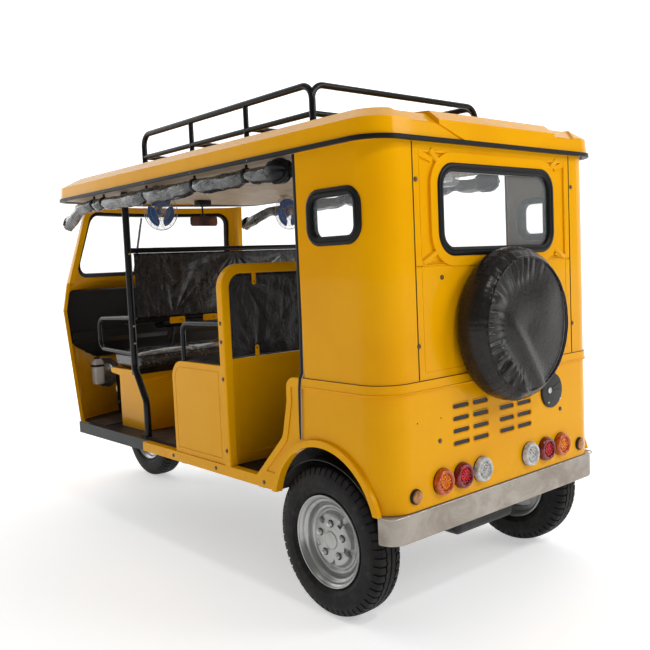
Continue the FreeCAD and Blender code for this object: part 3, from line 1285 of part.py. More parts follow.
def bottles():
    """Washer bottle by the dash and the reservoir beside the pedestal."""
    side, y, z = S.body_half - 225, S.dash_face - S.wheelbase - 43, S.floor_top + 180
    washer = block(side, side + 60, y + 60, y + 120, z, z + 160)
    strap = block(side + 15, side + 45, y - 125, y + 70, z + 108, z + 120)
    strap = strap.common(nose_block(NOSE, S.wall + S.seat_gap, 60))
    outer, rear = S.post_half - 252, S.driver_seat_rear - 5 - 18 + S.seat_gap
    tank = block(outer - 150, outer, rear, rear + 100, S.floor_top + 20, S.floor_top + 180)
    return feature("bottles", together([joined([washer.makeFillet(12, washer.Edges), strap]), tank]))


def arm_loops():
    """Bent tube arm rests beside the driver and the passengers."""
    x, rear, floor, radius = S.post_half, S.post_line - S.post_radius - S.seat_gap, S.floor_top, S.arm_radius
    front = rear - 353
    first = pipe([(x, rear, floor + 590), (x, front, floor + 580), (x, front, floor + 420),
                  (x, rear, floor + 410)], radius, 50)
    x, rear = S.hoop_line, S.hoop_face - S.seat_gap
    second = pipe([(x, rear, floor + 590), (x, rear - 310, floor + 585),
                   (x, rear - 310, floor + S.panel_rise + S.seat_gap)], radius, 40)
    return feature("arm_loops", together(pair(first) + pair(second)))


NOSE_SKIN = nose_block(NOSE)
SCREEN_SKIN = nose_block(SCREEN)


def build():
    left, front = S.track_half, -S.wheelbase
    for name, x, y, through, turn in (("rear_left", left, 0, False, 0), ("rear_right", -left, 0, False, 180),
                                      ("front", 0, front, True, 0)):
        rim(f"rim_{name}", x, y, through, turn)
        tyre(f"tyre_{name}", x, y)
    fan_blades("fan_blades_left", 1)
    fan_blades("fan_blades_right", -1)
    for make in (front_fork, handlebar, front_mudguard, chassis_frame, floor_pan, floor_mat, sills,
                 front_skirts, front_cowl, windscreen_frame, dash_panel, side_panels, driver_posts,
                 cabin_screens, partition_frame, partition_panel, driver_seat_pan,
                 passenger_seat_base, rear_tub, engine_bay, quarter_panels, rear_panel,
                 window_glass, window_seals, roof_panel, roof_gutter, headliner, roof_rack,
                 rear_bumper, lamps_amber, lamps_red, lamps_clear, lamp_bezels, fuel_flap,
                 spare_wheel_cover, engine_block, rear_suspension, curtain_rolls, cabin_fans,
                 interior_mirror, wiper, controls, bottles, arm_loops, driver_cushion,
                 passenger_cushion, passenger_backrest):
        make()


def check():
    doc.recompute()
    faults = []
    for thing in doc.Objects:
        if {"Invalid", "Error"} & set(thing.State):
            faults.append(f"{thing.Name}: {thing.State}")
    for thing in PARTS:
        shape = thing.Shape
        if shape.isNull() or not shape.isValid() or not shape.Solids:
            faults.append(f"{thing.Label}: bad shape")
    if faults:
        raise RuntimeError("; ".join(faults))


def write():
    os.makedirs("parts", exist_ok=True)
    for thing in PARTS:
        thing.Shape.exportStep(f"parts/{thing.Label}.step")


build()
check()
write()
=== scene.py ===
"""Finishes, soft goods, tyres and trim of an auto rickshaw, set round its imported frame.

Blender works in metres. at() takes millimetres measured from the ground below the middle of
the rear axle, with the front along -Y and the left side along +X.
"""

import math

import bmesh
import bpy
from mathutils import Matrix, Vector, noise
from mathutils.bvhtree import BVHTree


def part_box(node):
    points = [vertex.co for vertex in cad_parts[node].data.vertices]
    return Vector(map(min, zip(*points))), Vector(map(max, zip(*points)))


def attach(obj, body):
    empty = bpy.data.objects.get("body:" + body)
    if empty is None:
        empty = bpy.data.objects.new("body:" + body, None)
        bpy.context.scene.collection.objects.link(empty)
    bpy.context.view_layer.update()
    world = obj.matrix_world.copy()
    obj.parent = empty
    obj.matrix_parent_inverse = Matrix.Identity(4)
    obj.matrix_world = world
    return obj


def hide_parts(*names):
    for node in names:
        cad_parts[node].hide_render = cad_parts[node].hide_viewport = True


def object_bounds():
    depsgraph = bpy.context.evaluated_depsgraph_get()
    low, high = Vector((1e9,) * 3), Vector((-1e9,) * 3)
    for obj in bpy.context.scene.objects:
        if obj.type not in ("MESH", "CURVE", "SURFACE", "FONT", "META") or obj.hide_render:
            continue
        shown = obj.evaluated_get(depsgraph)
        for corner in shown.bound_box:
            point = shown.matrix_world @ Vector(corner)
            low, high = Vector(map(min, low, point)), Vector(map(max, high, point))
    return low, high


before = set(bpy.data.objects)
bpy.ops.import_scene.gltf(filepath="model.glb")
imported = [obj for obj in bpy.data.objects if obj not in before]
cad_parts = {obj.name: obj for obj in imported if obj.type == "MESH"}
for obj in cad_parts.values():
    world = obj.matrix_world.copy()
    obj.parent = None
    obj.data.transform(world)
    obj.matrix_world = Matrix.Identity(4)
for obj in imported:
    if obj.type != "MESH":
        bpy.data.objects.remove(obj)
CAD_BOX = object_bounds()
CHASSIS = "chassis"
MM = 0.001
X_AXIS, Y_AXIS, Z_AXIS = Vector((1, 0, 0)), Vector((0, 1, 0)), Vector((0, 0, 1))
SIDES = (("left", 1), ("right", -1))
# levels and faces of the body in millimetres
REAR_FACE, SIDE_FACE, LINING_LEVEL, HOOP_FACE, LAMP_LEVEL = 350, 625, 1671, -577, 511


def middle(node):
    """Centre of a node's box."""
    low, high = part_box(node)
    return (low + high) / 2


REAR_AXLE = middle("tyre_rear_left").y


def at(x, y, z):
    """A point in millimetres from the ground below the rear axle."""
    return Vector((x * MM, y * MM + REAR_AXLE, z * MM))


def wave(point, scale, seed=0.0):
    """Smooth noise from -1 to 1 at a point, with features 1 / scale metres across."""
    return noise.noise(point * scale + Vector((seed, 3.1 * seed, -1.7 * seed)))


def smooth_step(low, high, value):
    share = min(max((value - low) / (high - low), 0.0), 1.0)
    return share * share * (3 - 2 * share)


def bump_at(value, place, width):
    """1 at a place, falling to 0 within about two widths of it."""
    return math.exp(-((value - place) / width) ** 2)


def circle(steps, start=0.0):
    """Turns in radians, evenly round a circle."""
    return [math.tau * (k + start) / steps for k in range(steps)]


# ------------------------------------------------------------------ shader maths

class Wave:
    """A shader socket that can stand in an expression."""

    def __init__(self, finish, socket):
        self.finish = finish
        self.socket = socket

    def math(self, operation, other, swap=False):
        terms = [other, self] if swap else [self, other]
        return self.finish.node("ShaderNodeMath", {"operation": operation}, dict(enumerate(terms)))

    def __add__(self, other):
        return self.math("ADD", other)

    def __sub__(self, other):
        return self.math("SUBTRACT", other)

    def __rsub__(self, other):
        return self.math("SUBTRACT", other, swap=True)

    def __mul__(self, other):
        return self.math("MULTIPLY", other)

    def __pow__(self, other):
        return self.math("POWER", other)

    __radd__ = __add__
    __rmul__ = __mul__

    def step(self, low, high):
        """0 below low, 1 above high, smooth between them."""
        return self.finish.node("ShaderNodeMapRange", {"interpolation_type": "SMOOTHSTEP"},
                                {"Value": self, "From Min": low, "From Max": high})


class Finish:
    """One material: a Principled shader and the nodes that vary it over the surface."""

    def __init__(self, name, **constants):
        self.material = bpy.data.materials.new(name)
        self.material.use_nodes = True
        self.tree = self.material.node_tree
        self.shader = self.tree.nodes["Principled BSDF"]
        self.feed(**constants)

    def put(self, socket, value):
        if isinstance(value, Wave):
            self.tree.links.new(value.socket, socket)
        elif socket.type == "RGBA" and len(value) == 3:
            socket.default_value = (*value, 1.0)
        else:
            socket.default_value = value

    def node(self, kind, settings=None, inputs=None, output=0):
        made = self.tree.nodes.new(kind)
        for key, value in (settings or {}).items():
            setattr(made, key, value)
        for key, value in (inputs or {}).items():
            self.put(made.inputs[key], value)
        return Wave(self, made.outputs[output])

    def feed(self, **links):
        for key, value in links.items():
            self.put(self.shader.inputs[key.replace("_", " ")], value)
        return self

    def bump(self, height, distance, strength):
        sizes = {"Height": height, "Distance": distance, "Strength": strength}
        return self.node("ShaderNodeBump", None, sizes)

    def skin(self, share, first, second, rough, *bump):
        """Feeds a colour between two colours, a roughness and a bump."""
        return self.feed(Base_Color=self.mix(share, first, second), Roughness=rough, Normal=self.bump(*bump))

    def place(self, scale=(1, 1, 1)):
        """Object coordinates, stretched by scale."""
        point = self.node("ShaderNodeTexCoord", output="Object")
        return self.node("ShaderNodeVectorMath", {"operation": "MULTIPLY"}, {0: point, 1: scale})

    def noise(self, scale, detail=2.0, rough=0.5, stretch=(1, 1, 1), warp=0.0):
        return self.node("ShaderNodeTexNoise", None,
                         {"Vector": self.place(stretch), "Scale": scale, "Detail": detail,
                          "Roughness": rough, "Distortion": warp})

    def cells(self, scale, feature="F1"):
        sizes = {"Vector": self.place(), "Scale": scale}
        return self.node("ShaderNodeTexVoronoi", {"feature": feature}, sizes)

    def height(self):
        """Height above the ground, in metres."""
        return self.node("ShaderNodeSeparateXYZ", None, {0: self.place()}, output="Z")

    def mix(self, share, first, second):
        """A colour between two colours."""
        return self.node("ShaderNodeMix", {"data_type": "RGBA"}, {0: share, 6: first, 7: second}, output=2)


def paint(name, colour, shade, rough, dust, coat):
    """Sprayed gloss paint: slight waviness, uneven film and road dust low down."""
    made = Finish(name, Coat_Roughness=0.04, Coat_IOR=1.3, IOR=1.25, Specular_IOR_Level=0.3,
                  Specular_Tint=(1.0, 0.66, 0.20, 1.0))
    film = made.mix(made.noise(2.2, 3, 0.6).step(0.35, 0.75), colour, shade)
    dusty = (1 - made.height().step(0.30, 0.62)) * made.noise(38, 5, 0.7).step(0.42, 0.8) * dust
    made.feed(Coat_Weight=coat - dusty * 0.2)
    return made.skin(dusty, film, (0.16, 0.11, 0.06),
                     made.noise(11, 4, 0.6) * 0.10 + (rough - 0.05) + dusty * 0.5,
                     made.noise(420, 2) * 0.35 + made.noise(5.5, 2) * 3.0, 0.0006, 0.35)


def enamel(name, colour, rough, dust):
    """Brushed or dipped paint on tube and plate, with settled dust."""
    made = Finish(name, Specular_IOR_Level=0.22)
    return made.skin(made.noise(17, 6, 0.7).step(0.45, 0.85) * dust, colour, (0.10, 0.08, 0.06),
                     made.noise(60, 3) * 0.16 + rough, made.noise(260, 3), 0.0004, 0.3)


def silver(name, colour, stain, metal, rough, scale, grain=(1, 1, 1)):
    """Silver paint or zinc sheet with stains."""
    made = Finish(name)
    blotch = made.noise(scale, 6, 0.68, grain, 0.6).step(0.40, 0.68)
    speck = made.noise(scale * 24, 3, 0.7, grain)
    made.feed(Metallic=metal - blotch * 0.15)
    return made.skin(blotch * 0.75, colour, stain, blotch * 0.14 + speck * 0.12 + rough,
                     speck + made.noise(7, 2) * 2, 0.0005, 0.35)


def rubber(name, colour, rough, dust):
    made = Finish(name, Specular_IOR_Level=0.16)
    return made.skin(made.noise(24, 6, 0.7).step(0.4, 0.9) * dust, colour, (0.12, 0.10, 0.08),
                     made.noise(90, 3) * 0.15 + rough, made.noise(520, 2), 0.0003, 0.4)


def vinyl(name, colour, tint, rough):
    """Coated cloth with an embossed grain and soft creases."""
    made = Finish(name, Specular_IOR_Level=0.26)
    grain = made.cells(900, "SMOOTH_F1") * 0.3 + made.noise(30, 2, 0.5, warp=0.8) * 2.0
    return made.skin(made.noise(4.5, 4, 0.6).step(0.35, 0.8), colour, tint,
                     made.noise(30, 4, 0.7) * 0.22 + rough, grain, 0.0012, 0.4)


def film(name, colour, painted_highlight, highlight_amount, scale, rough, gloss, stretch=(1, 1, 1)):
    """Clear packing film, creased and shining, over dark cloth, with pale streaks along its creases and a
    pale haze painted into its colour as highlights.
    """
    made = Finish(name, Specular_IOR_Level=0.4, Coat_Weight=gloss, Coat_Roughness=0.05)
    fold = made.noise(scale, 6, 0.62, stretch, 1.4)
    crease = 1 - ((fold - 0.5) ** 2) ** 0.5 * 34
    # pale lines along the creases: painted highlight
    line = crease.math("MAXIMUM", 0.0) * made.noise(scale * 0.6, 3, 0.6).step(0.45, 0.75)
    fine = made.noise(scale * 3.1, 7, 0.75, stretch, 2.2)
    # pale haze over the fine crinkles: painted sheen
    painted_sheen = fine.step(0.52, 0.8) * 0.35
    return made.skin((line + painted_sheen) * highlight_amount, colour, painted_highlight, made.noise(scale * 2, 3) * 0.2 + rough,
                     fold * 2.4 + fine, 0.007, 0.75)


def lens(name, deep, bright, rough=0.08, prism=150):
    """Moulded lens with small prisms inside its face."""
    made = Finish(name, Coat_Weight=0.5, Coat_Roughness=0.03, Specular_IOR_Level=0.4)
    prisms = made.cells(prism)
    return made.skin(prisms.step(0.15, 0.7) * made.noise(40, 3).step(0.2, 0.7), bright, deep, rough,
                     prisms + made.noise(95, 2) * 0.6, 0.0022, 0.6)


def glass(name, tint, alpha):
    made = Finish(name, Base_Color=tint, Roughness=0.02, Alpha=alpha, Coat_Weight=0.6, Coat_Roughness=0.02,
                  Specular_IOR_Level=0.6)
    return made.feed(Normal=made.bump(made.noise(3, 2), 0.0008, 0.2))


def plastic(name, colour, shade, rough):
    """Moulded plastic with a fine cast grain."""
    made = Finish(name, Specular_IOR_Level=0.28)
    return made.skin(made.noise(6, 4, 0.6).step(0.3, 0.75), colour, shade, made.noise(40, 3) * 0.16 + rough,
                     made.cells(300, "SMOOTH_F1"), 0.0004, 0.5)


def lining(name, colour, shade):
    """Backing board, mottled and scuffed."""
    made = Finish(name, Specular_IOR_Level=0.35)
    return made.skin(made.noise(9, 7, 0.7, warp=0.7).step(0.35, 0.7), colour, shade,
                     made.noise(22, 4) * 0.2 + 0.45,
                     made.noise(160, 4, 0.7) + made.noise(6, 2) * 3, 0.0012, 0.5)


def ribbed_mat(name):
    """Ribbed rubber matting with trodden dust."""
    made = Finish(name, Specular_IOR_Level=0.35)
    ribs = made.node("ShaderNodeTexWave", {"bands_direction": "X"},
                     {"Vector": made.place(), "Scale": 26.0, "Distortion": 0.0})
    return made.skin(made.noise(7, 6, 0.7).step(0.42, 0.75) * 0.7, (0.034, 0.026, 0.021), (0.15, 0.10, 0.075),
                     made.noise(30, 3) * 0.2 + 0.5, ribs + made.noise(200, 3) * 0.4, 0.0022, 0.6)


YELLOW = paint("yellow_paint", (0.83, 0.385, 0.001), (0.78, 0.34, 0.001), 0.18, 0.25, 0.20)
BLACK = enamel("black_enamel", (0.006, 0.006, 0.007), 0.16, 0.05)
CHASSIS_PAINT = enamel("chassis_paint", (0.014, 0.014, 0.015), 0.42, 0.6)
RUNNING = enamel("running_gear", (0.018, 0.018, 0.019), 0.45, 0.6)
SKIRT = enamel("skirt_paint", (0.026, 0.032, 0.032), 0.34, 0.3)
WHEEL_SILVER = silver("wheel_silver", (0.45, 0.46, 0.45), (0.26, 0.26, 0.24), 0.75, 0.24, 7)
NUT_SILVER = silver("nut_silver", (0.66, 0.66, 0.65), (0.48, 0.48, 0.46), 0.35, 0.24, 30)
BUMPER_ZINC = silver("bumper_zinc", (0.43, 0.39, 0.34), (0.26, 0.21, 0.17), 0.50, 0.38, 5, (1, 1, 1.6))
STEEL = silver("bright_steel", (0.55, 0.55, 0.54), (0.25, 0.22, 0.18), 0.9, 0.22, 40)
BOLT = silver("dull_steel", (0.13, 0.095, 0.06), (0.05, 0.04, 0.03), 0.80, 0.24, 60)
BRASS = silver("brass_plate", (0.62, 0.44, 0.18), (0.30, 0.20, 0.08), 0.9, 0.26, 40)
# near black: the engine block's colour is painted shade of the dark space under the body
SHADED_CAST = silver("cast_metal_painted_shade", (0.030, 0.030, 0.030), (0.018, 0.016, 0.014), 0.2, 0.50, 16)
TYRE = rubber("tyre_rubber", (0.011, 0.011, 0.012), 0.50, 0.30)
SEAL = rubber("seal_rubber", (0.007, 0.007, 0.008), 0.30, 0.04)
VINYL = vinyl("black_vinyl", (0.010, 0.009, 0.008), (0.022, 0.017, 0.015), 0.15)
# the third colour of each film is its painted highlight along the creases
SEAT_FILM = film("seat_film", (0.013, 0.013, 0.015), (0.60, 0.61, 0.63), 1.0, 22, 0.08, 1.0)
SCREEN_FILM = film("screen_film", (0.015, 0.014, 0.014), (0.24, 0.23, 0.22), 0.5, 4.6, 0.14, 0.35,
                   (1, 1, 0.4))
CURTAIN = film("curtain_film", (0.018, 0.019, 0.020), (0.62, 0.63, 0.64), 0.20, 13, 0.07, 0.6, (1, 0.6, 1))
CUSHION = vinyl("seat_vinyl", (0.017, 0.017, 0.018), (0.026, 0.026, 0.027), 0.36)
LINING = lining("beige_lining", (0.52, 0.40, 0.26), (0.40, 0.28, 0.17))
WALL_LINING = lining("brown_lining", (0.20, 0.13, 0.075), (0.10, 0.06, 0.035))
MAT = ribbed_mat("ribbed_mat")
DASH = plastic("dash_plastic", (0.014, 0.014, 0.015), (0.022, 0.022, 0.022), 0.34)
BLACK_PLASTIC = plastic("black_plastic", (0.008, 0.008, 0.008), (0.014, 0.013, 0.013), 0.26)
STEM_PLASTIC = plastic("stem_plastic", (0.20, 0.10, 0.06), (0.12, 0.06, 0.03), 0.4)
CREAM = plastic("cream_plastic", (0.62, 0.50, 0.36), (0.50, 0.36, 0.24), 0.35)
WHITE = plastic("white_plastic", (0.62, 0.60, 0.57), (0.50, 0.46, 0.42), 0.32)
BLUE = plastic("blue_plastic", (0.003, 0.10, 0.36), (0.003, 0.075, 0.28), 0.16)
PALE_WIRE = plastic("pale_wire", (0.40, 0.34, 0.28), (0.30, 0.24, 0.18), 0.30)
AMBER = lens("amber_lens", (0.55, 0.10, 0.002), (1.0, 0.34, 0.01))
AMBER_RIM = lens("amber_rim", (0.34, 0.045, 0.002), (0.62, 0.10, 0.004), 0.12, 60)
RED_RIM = lens("red_rim", (0.10, 0.003, 0.004), (0.26, 0.006, 0.010), 0.12, 60)
CLEAR_RIM = lens("clear_rim", (0.34, 0.34, 0.33), (0.62, 0.61, 0.60), 0.14, 60)
AMBER_DARK = lens("brown_amber_lens", (0.22, 0.07, 0.01), (0.50, 0.20, 0.03))
RED = lens("red_lens", (0.28, 0.003, 0.008), (0.80, 0.012, 0.03))
CLEAR = lens("clear_lens", (0.24, 0.23, 0.22), (0.80, 0.79, 0.77))
GLASS = glass("window_glass", (0.75, 0.80, 0.80), 0.10)
LAMP_GLASS = glass("lamp_glass", (0.85, 0.88, 0.90), 0.30)
MIRROR = Finish("mirror_face", Base_Color=(0.30, 0.16, 0.11), Metallic=0.85, Roughness=0.12)


# ------------------------------------------------------------------ meshes

def rounded(points, radius, steps=6, closed=False):
    """The points of a line with arcs at its corners: radius is one number, or one for each corner."""
    count = len(points)
    radii = radius if isinstance(radius, tuple) else (radius,) * count
    line = []
    for i, corner in enumerate(points):
        if not closed and i in (0, count - 1):
            line.append(corner.copy())
            continue
        before, after = points[i - 1] - corner, points[(i + 1) % count] - corner
        half = before.angle(after) / 2
        reach = min(radii[i] / math.tan(half), before.length * 0.49, after.length * 0.49)
        bend = reach * math.tan(half)
        start, end = corner + before.normalized() * reach, corner + after.normalized() * reach
        centre = corner + (before.normalized() + after.normalized()).normalized() * (bend / math.sin(half))
        first, last = start - centre, end - centre
        for k in range(steps + 1):
            line.append(centre + first.slerp(last, k / steps).normalized() * bend)
    return line


def window_line(x0, x1, z0, z1, radius, steps=8):
    """A rounded rectangle as pairs of numbers."""
    square = [Vector((x0, z0, 0)), Vector((x1, z0, 0)), Vector((x1, z1, 0)), Vector((x0, z1, 0))]
    return [(p.x, p.y) for p in rounded(square, radius, steps, closed=True)]


def dense(line, step, closed=False):
    """The line's points with more between them, no further apart than step."""
    full = []
    count = len(line)
    for i, point in enumerate(line[:count if closed else -1]):
        after = line[(i + 1) % count]
        parts = max(1, math.ceil((after - point).length / step))
        full += [point.lerp(after, k / parts) for k in range(parts)]
    if not closed:
        full.append(line[-1])
    return full


def run_at(line, i, closed=False):
    """The direction of a line at its point i."""
    count = len(line)
    ahead = line[(i + 1) % count] if closed or i < count - 1 else line[i]
    behind = line[i - 1] if closed or i > 0 else line[i]
    return (ahead - behind).normalized()


class Form:
    """Collects the faces of one piece."""

    def __init__(self):
        self.points = []
        self.faces = []

    def rows(self, rows, around=False, loop=False, ends=False):
        """A skin over rows of points: around closes each row, loop joins last to first."""
        base, count, wide = len(self.points), len(rows), len(rows[0])
        for row in rows:
            self.points.extend(Vector(p) for p in row)
        for i in range(count if loop else count - 1):
            j = (i + 1) % count
            for k in range(wide if around else wide - 1):
                m = (k + 1) % wide
                self.faces.append([base + i * wide + k, base + i * wide + m,
                                   base + j * wide + m, base + j * wide + k])
        if ends:
            self.faces.append([base + k for k in reversed(range(wide))])
            self.faces.append([base + (count - 1) * wide + k for k in range(wide)])
        return self

    def tube(self, line, radius, sides=12, closed=False):
        """A round bar along a line of points."""
        rows = []
        side = run_at(line, 0, closed).orthogonal().normalized()
        for i, point in enumerate(line):
            run = run_at(line, i, closed)
            side = (side - run * side.dot(run)).normalized()
            over = run.cross(side)
            rows.append([point + (side * math.cos(a) + over * math.sin(a)) * radius for a in circle(sides)])
        return self.rows(rows, around=True, loop=closed, ends=not closed)

    def sweep(self, profile, line, up):
        """A section of (across, up) points carried round a closed line."""
        rows = []
        for i, point in enumerate(line):
            across = run_at(line, i, True).cross(up).normalized()
            rows.append([point + across * a + up * b for a, b in profile])
        return self.rows(rows, around=True, loop=True)

    def lathe(self, section, centre, axis, steps, shape=None, capped=False):
        """A section of (along, radius) points turned about an axis; shape may move each point."""
        start = axis.orthogonal().normalized()
        if abs(axis.x) > 0.9 or abs(axis.y) > 0.9:
            start = Z_AXIS.copy()
        other = axis.cross(start).normalized()
        rows = []
        for turn in circle(steps):
            row = []
            for i, (along, radius) in enumerate(section):
                if shape:
                    along, radius = shape(i, along, radius, turn)
                row.append(centre + axis * along + (start * math.cos(turn) + other * math.sin(turn)) * radius)
            rows.append(row)
        self.rows(rows, loop=True)
        if capped:
            wide = len(section)
            base = len(self.points) - steps * wide
            for column in (0, wide - 1):
                self.faces.append([base + k * wide + column for k in range(steps)])
        return self

    def slab(self, line, place, levels):
        """A solid of one outline through levels."""
        return self.rows([[place(a, b, level) for a, b in line] for level in levels], around=True, ends=True)

    def jar(self, box, radius, steps, levels):
        """A rounded box drawn in at its levels: box is x and y from and to, a level is (z, inset)."""
        x0, x1, y0, y1 = box
        rows = []
        for z, inset in levels:
            line = window_line(x0 + inset, x1 - inset, y0 + inset, y1 - inset, radius, steps)
            rows.append([at(x, y, z) for x, y in line])
        return self.rows(rows, around=True, ends=True)

    def block(self, x0, x1, y0, y1, z0, z1):
        return self.slab([(x0, y0), (x1, y0), (x1, y1), (x0, y1)], at, (z0, z1))

    def raw(self, name):
        """The piece as it stands, without a finish."""
        mesh = bpy.data.meshes.new(name)
        mesh.from_pydata(self.points, [], self.faces)
        piece = bpy.data.objects.new(name, mesh)
        bpy.context.scene.collection.objects.link(piece)
        return piece

    def done(self, name, finish, slot, stands_for=(), body=CHASSIS, bevel=0.0, solid=0.0, smooth=0, angle=35,
             weld=1e-5):
        """Makes the piece, with its modifiers applied."""
        piece = self.raw(name)
        work = bmesh.new()
        work.from_mesh(piece.data)
        bmesh.ops.remove_doubles(work, verts=work.verts, dist=weld)
        bmesh.ops.dissolve_degenerate(work, dist=weld, edges=work.edges)
        bmesh.ops.recalc_face_normals(work, faces=work.faces)
        work.to_mesh(piece.data)
        work.free()
        if solid:
            piece.modifiers.new("solid", "SOLIDIFY").thickness = solid
        if smooth:
            piece.modifiers.new("smooth", "SUBSURF").levels = smooth
        if bevel:
            round_edges(piece, bevel, 2, 40)
        return dress(piece, finish, stands_for, body, angle)


def round_edges(piece, width, segments, angle):
    edge = piece.modifiers.new("bevel", "BEVEL")
    edge.width, edge.segments, edge.limit_method = width, segments, "ANGLE"
    edge.angle_limit = math.radians(angle)
    return edge


def settle(piece):
    """Applies a piece's modifiers to its mesh."""
    if piece.modifiers:
        ready = piece.evaluated_get(bpy.context.evaluated_depsgraph_get())
        mesh = bpy.data.meshes.new_from_object(ready)
        piece.modifiers.clear()
        piece.data = mesh


def wear(piece, finish):
    piece.data.materials.clear()
    piece.data.materials.append(finish.material)


def dress(piece, finish, stands_for, body, angle):
    """Gives a piece its finish, its body and the nodes that it replaces."""
    settle(piece)
    wear(piece, finish)
    piece.data.shade_smooth()
    piece.data.set_sharp_from_angle(angle=math.radians(angle))
    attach(piece, body)
    if stands_for:
        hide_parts(*stands_for)
    return piece


def turned(name, finish, slot, spots, *sections, stands_for=(), body=CHASSIS, angle=35):
    """One piece of sections turned at each spot: a spot is (place, axis), a section (points, steps)."""
    form = Form()
    for place, axis in spots:
        for section, steps in sections:
            form.lathe(section, place, axis, steps)
    return form.done(name, finish, slot, stands_for, body, angle=angle)


def both(x, y, z, axis, mirror=False):
    """The same spot on both sides, as (place, axis); mirror turns the axis over on the right."""
    return [(at(side * x, y, z), axis * side if mirror else axis) for _, side in SIDES]


def skin_of(*nodes):
    """A tree of one or more nodes' faces, to find where their surface lies."""
    points, faces = [], []
    for node in nodes:
        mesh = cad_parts[node].data
        base = len(points)
        points += [v.co.copy() for v in mesh.vertices]
        faces += [[base + k for k in face.vertices] for face in mesh.polygons]
    return BVHTree.FromPolygons(points, faces)


# ------------------------------------------------------------------ wheels

TREAD_PITCHES, TREAD_DEPTH, TYRE_RADIUS = 54, 0.0065, 0.275
# across, radius, share of the tread's depth, zigzag share: one half of the tyre's section
TYRE_COLUMNS = (
    (0.0405, 0.159, 0, 0), (0.045, 0.1725, 0, 0), (0.053, 0.179, 0, 0), (0.0592, 0.1915, 0, 0),
    (0.0606, 0.193, 0, 0), (0.0622, 0.208, 0, 0), (0.0625, 0.22, 0, 0), (0.0616, 0.234, 0, 0),
    (0.06, 0.2415, 0, 0), (0.0588, 0.245, 0, 0), (0.0572, 0.2495, 0.6, 0), (0.054, 0.258, 1, 0),
    (0.05, 0.266, 1, 0), (0.0462, 0.27, 1, 0), (0.04, 0.2722, 1, 0), (0.031, 0.2738, 1, 0.3),
    (0.0262, 0.2742, 1, 1), (0.0255, 0.2685, 0, 1), (0.0205, 0.2685, 0, 1), (0.0198, 0.2748, 0, 1),
    (0.009, 0.275, 0, 0.3), (0.0032, 0.275, 0, 0), (0.0026, 0.2705, 0, 0),
)
# share of a pitch, share of the groove's depth there
TREAD_STOPS = ((0.0, 0.0), (0.03, 1.0), (0.2, 1.0), (0.23, 0.0), (0.36, 0.0), (0.5, 0.0), (0.75, 0.0))


def tyre(name, body):
    """Road tyre with shoulder blocks, two zigzag grooves and a middle groove."""
    low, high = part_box(name)
    centre, size = (low + high) / 2, (high.z - low.z) / 2 / TYRE_RADIUS
    rows = []
    for pitch in range(TREAD_PITCHES):
        for share, cut in TREAD_STOPS:
            turn = math.tau * (pitch + share) / TREAD_PITCHES
            zigzag = (abs(2 * ((share + 0.1) % 1.0) - 1) - 0.5) * 0.0062
            half = []
            for across, radius, deep, sway in TYRE_COLUMNS:
                sink = TREAD_DEPTH * cut * deep
                half.append((across + zigzag * sway - sink * 0.35 * (across > 0.04), radius - sink))
            ring = half + [(-a, r) for a, r in reversed(half)]
            out = Vector((0, math.cos(turn), math.sin(turn)))
            rows.append([centre + X_AXIS * (a * size) + out * (r * size) for a, r in ring])
    form = Form().rows(rows, around=True, loop=True)
    form.done(f"{name}_tread", TYRE, "tyre_rubber", (name,), body, angle=28)


# along from the wheel's middle, radius: the visible face from the lip to the disc's edge, then to the hub
RIM_FACE = (
    (0.052, 0.164), (0.054, 0.1668), (0.054, 0.169), (0.052, 0.17), (0.048, 0.17), (0.0455, 0.1672),
    (0.043, 0.159), (0.05, 0.163), (0.045, 0.156), (0.037, 0.1535), (0.033, 0.152), (0.031, 0.149),
    (0.03, 0.144), (0.026, 0.1405), (0.016, 0.139), (0.008, 0.138), (0.006, 0.135), (0.008, 0.131),
)
DISC_FACE = (
    (0.008, 0.131), (0.014, 0.1285), (0.0165, 0.125), (0.0165, 0.121), (0.014, 0.117), (0.009, 0.113),
    (0.007, 0.109), (0.008, 0.105), (0.013, 0.101), (0.023, 0.0985), (0.028, 0.096), (0.03, 0.09),
    (0.0305, 0.078), (0.031, 0.07), (0.0315, 0.062), (0.032, 0.05), (0.0325, 0.038), (0.0335, 0.031),
)
HUB_CAP = ((0.0335, 0.031), (0.035, 0.03), (0.0352, 0.02), (0.0352, 0.0))
HUB_BORE = ((0.0335, 0.031), (0.0335, 0.0175), (-0.04, 0.0175))
RIM_BACK = (
    (-0.052, 0.164), (-0.054, 0.169), (-0.048, 0.17), (-0.043, 0.159), (-0.024, 0.155), (-0.016, 0.14),
    (0.016, 0.14), (0.024, 0.155), (0.043, 0.159),
)
RIM_INSIDE = (
    (-0.052, 0.164), (-0.044, 0.153), (-0.023, 0.15), (-0.015, 0.134), (0.004, 0.134), (0.006, 0.11),
    (0.002, 0.09), (-0.04, 0.088), (-0.04, 0.018),
)
# the disc's columns that its notches draw in, and those that they also sink
NOTCHED, SUNK = range(8, 13), range(10, 13)
NUTS, NUT_CIRCLE = 5, 0.062
# the ring under each nut is dark: painted shade of a recess round the nut
NUT_SHADE_RING = ((0.0312, 0.0145), (0.0324, 0.0141), (0.0318, 0.01))
NUT_HEXAGON = ((0.0312, 0.0108), (0.0395, 0.0108), (0.041, 0.0095))
NUT_DOME = ((0.04, 0.0088), (0.044, 0.008), (0.047, 0.0052), (0.048, 0.0))


def lobes(i, along, radius, turn):
    """Notches the disc's edge between the nuts."""
    dip = math.exp(-((turn * NUTS / math.tau % 1.0 - 0.5) / 0.09) ** 4)
    return along - 0.007 * dip * (i in SUNK), radius - 0.021 * dip * (i in NOTCHED)


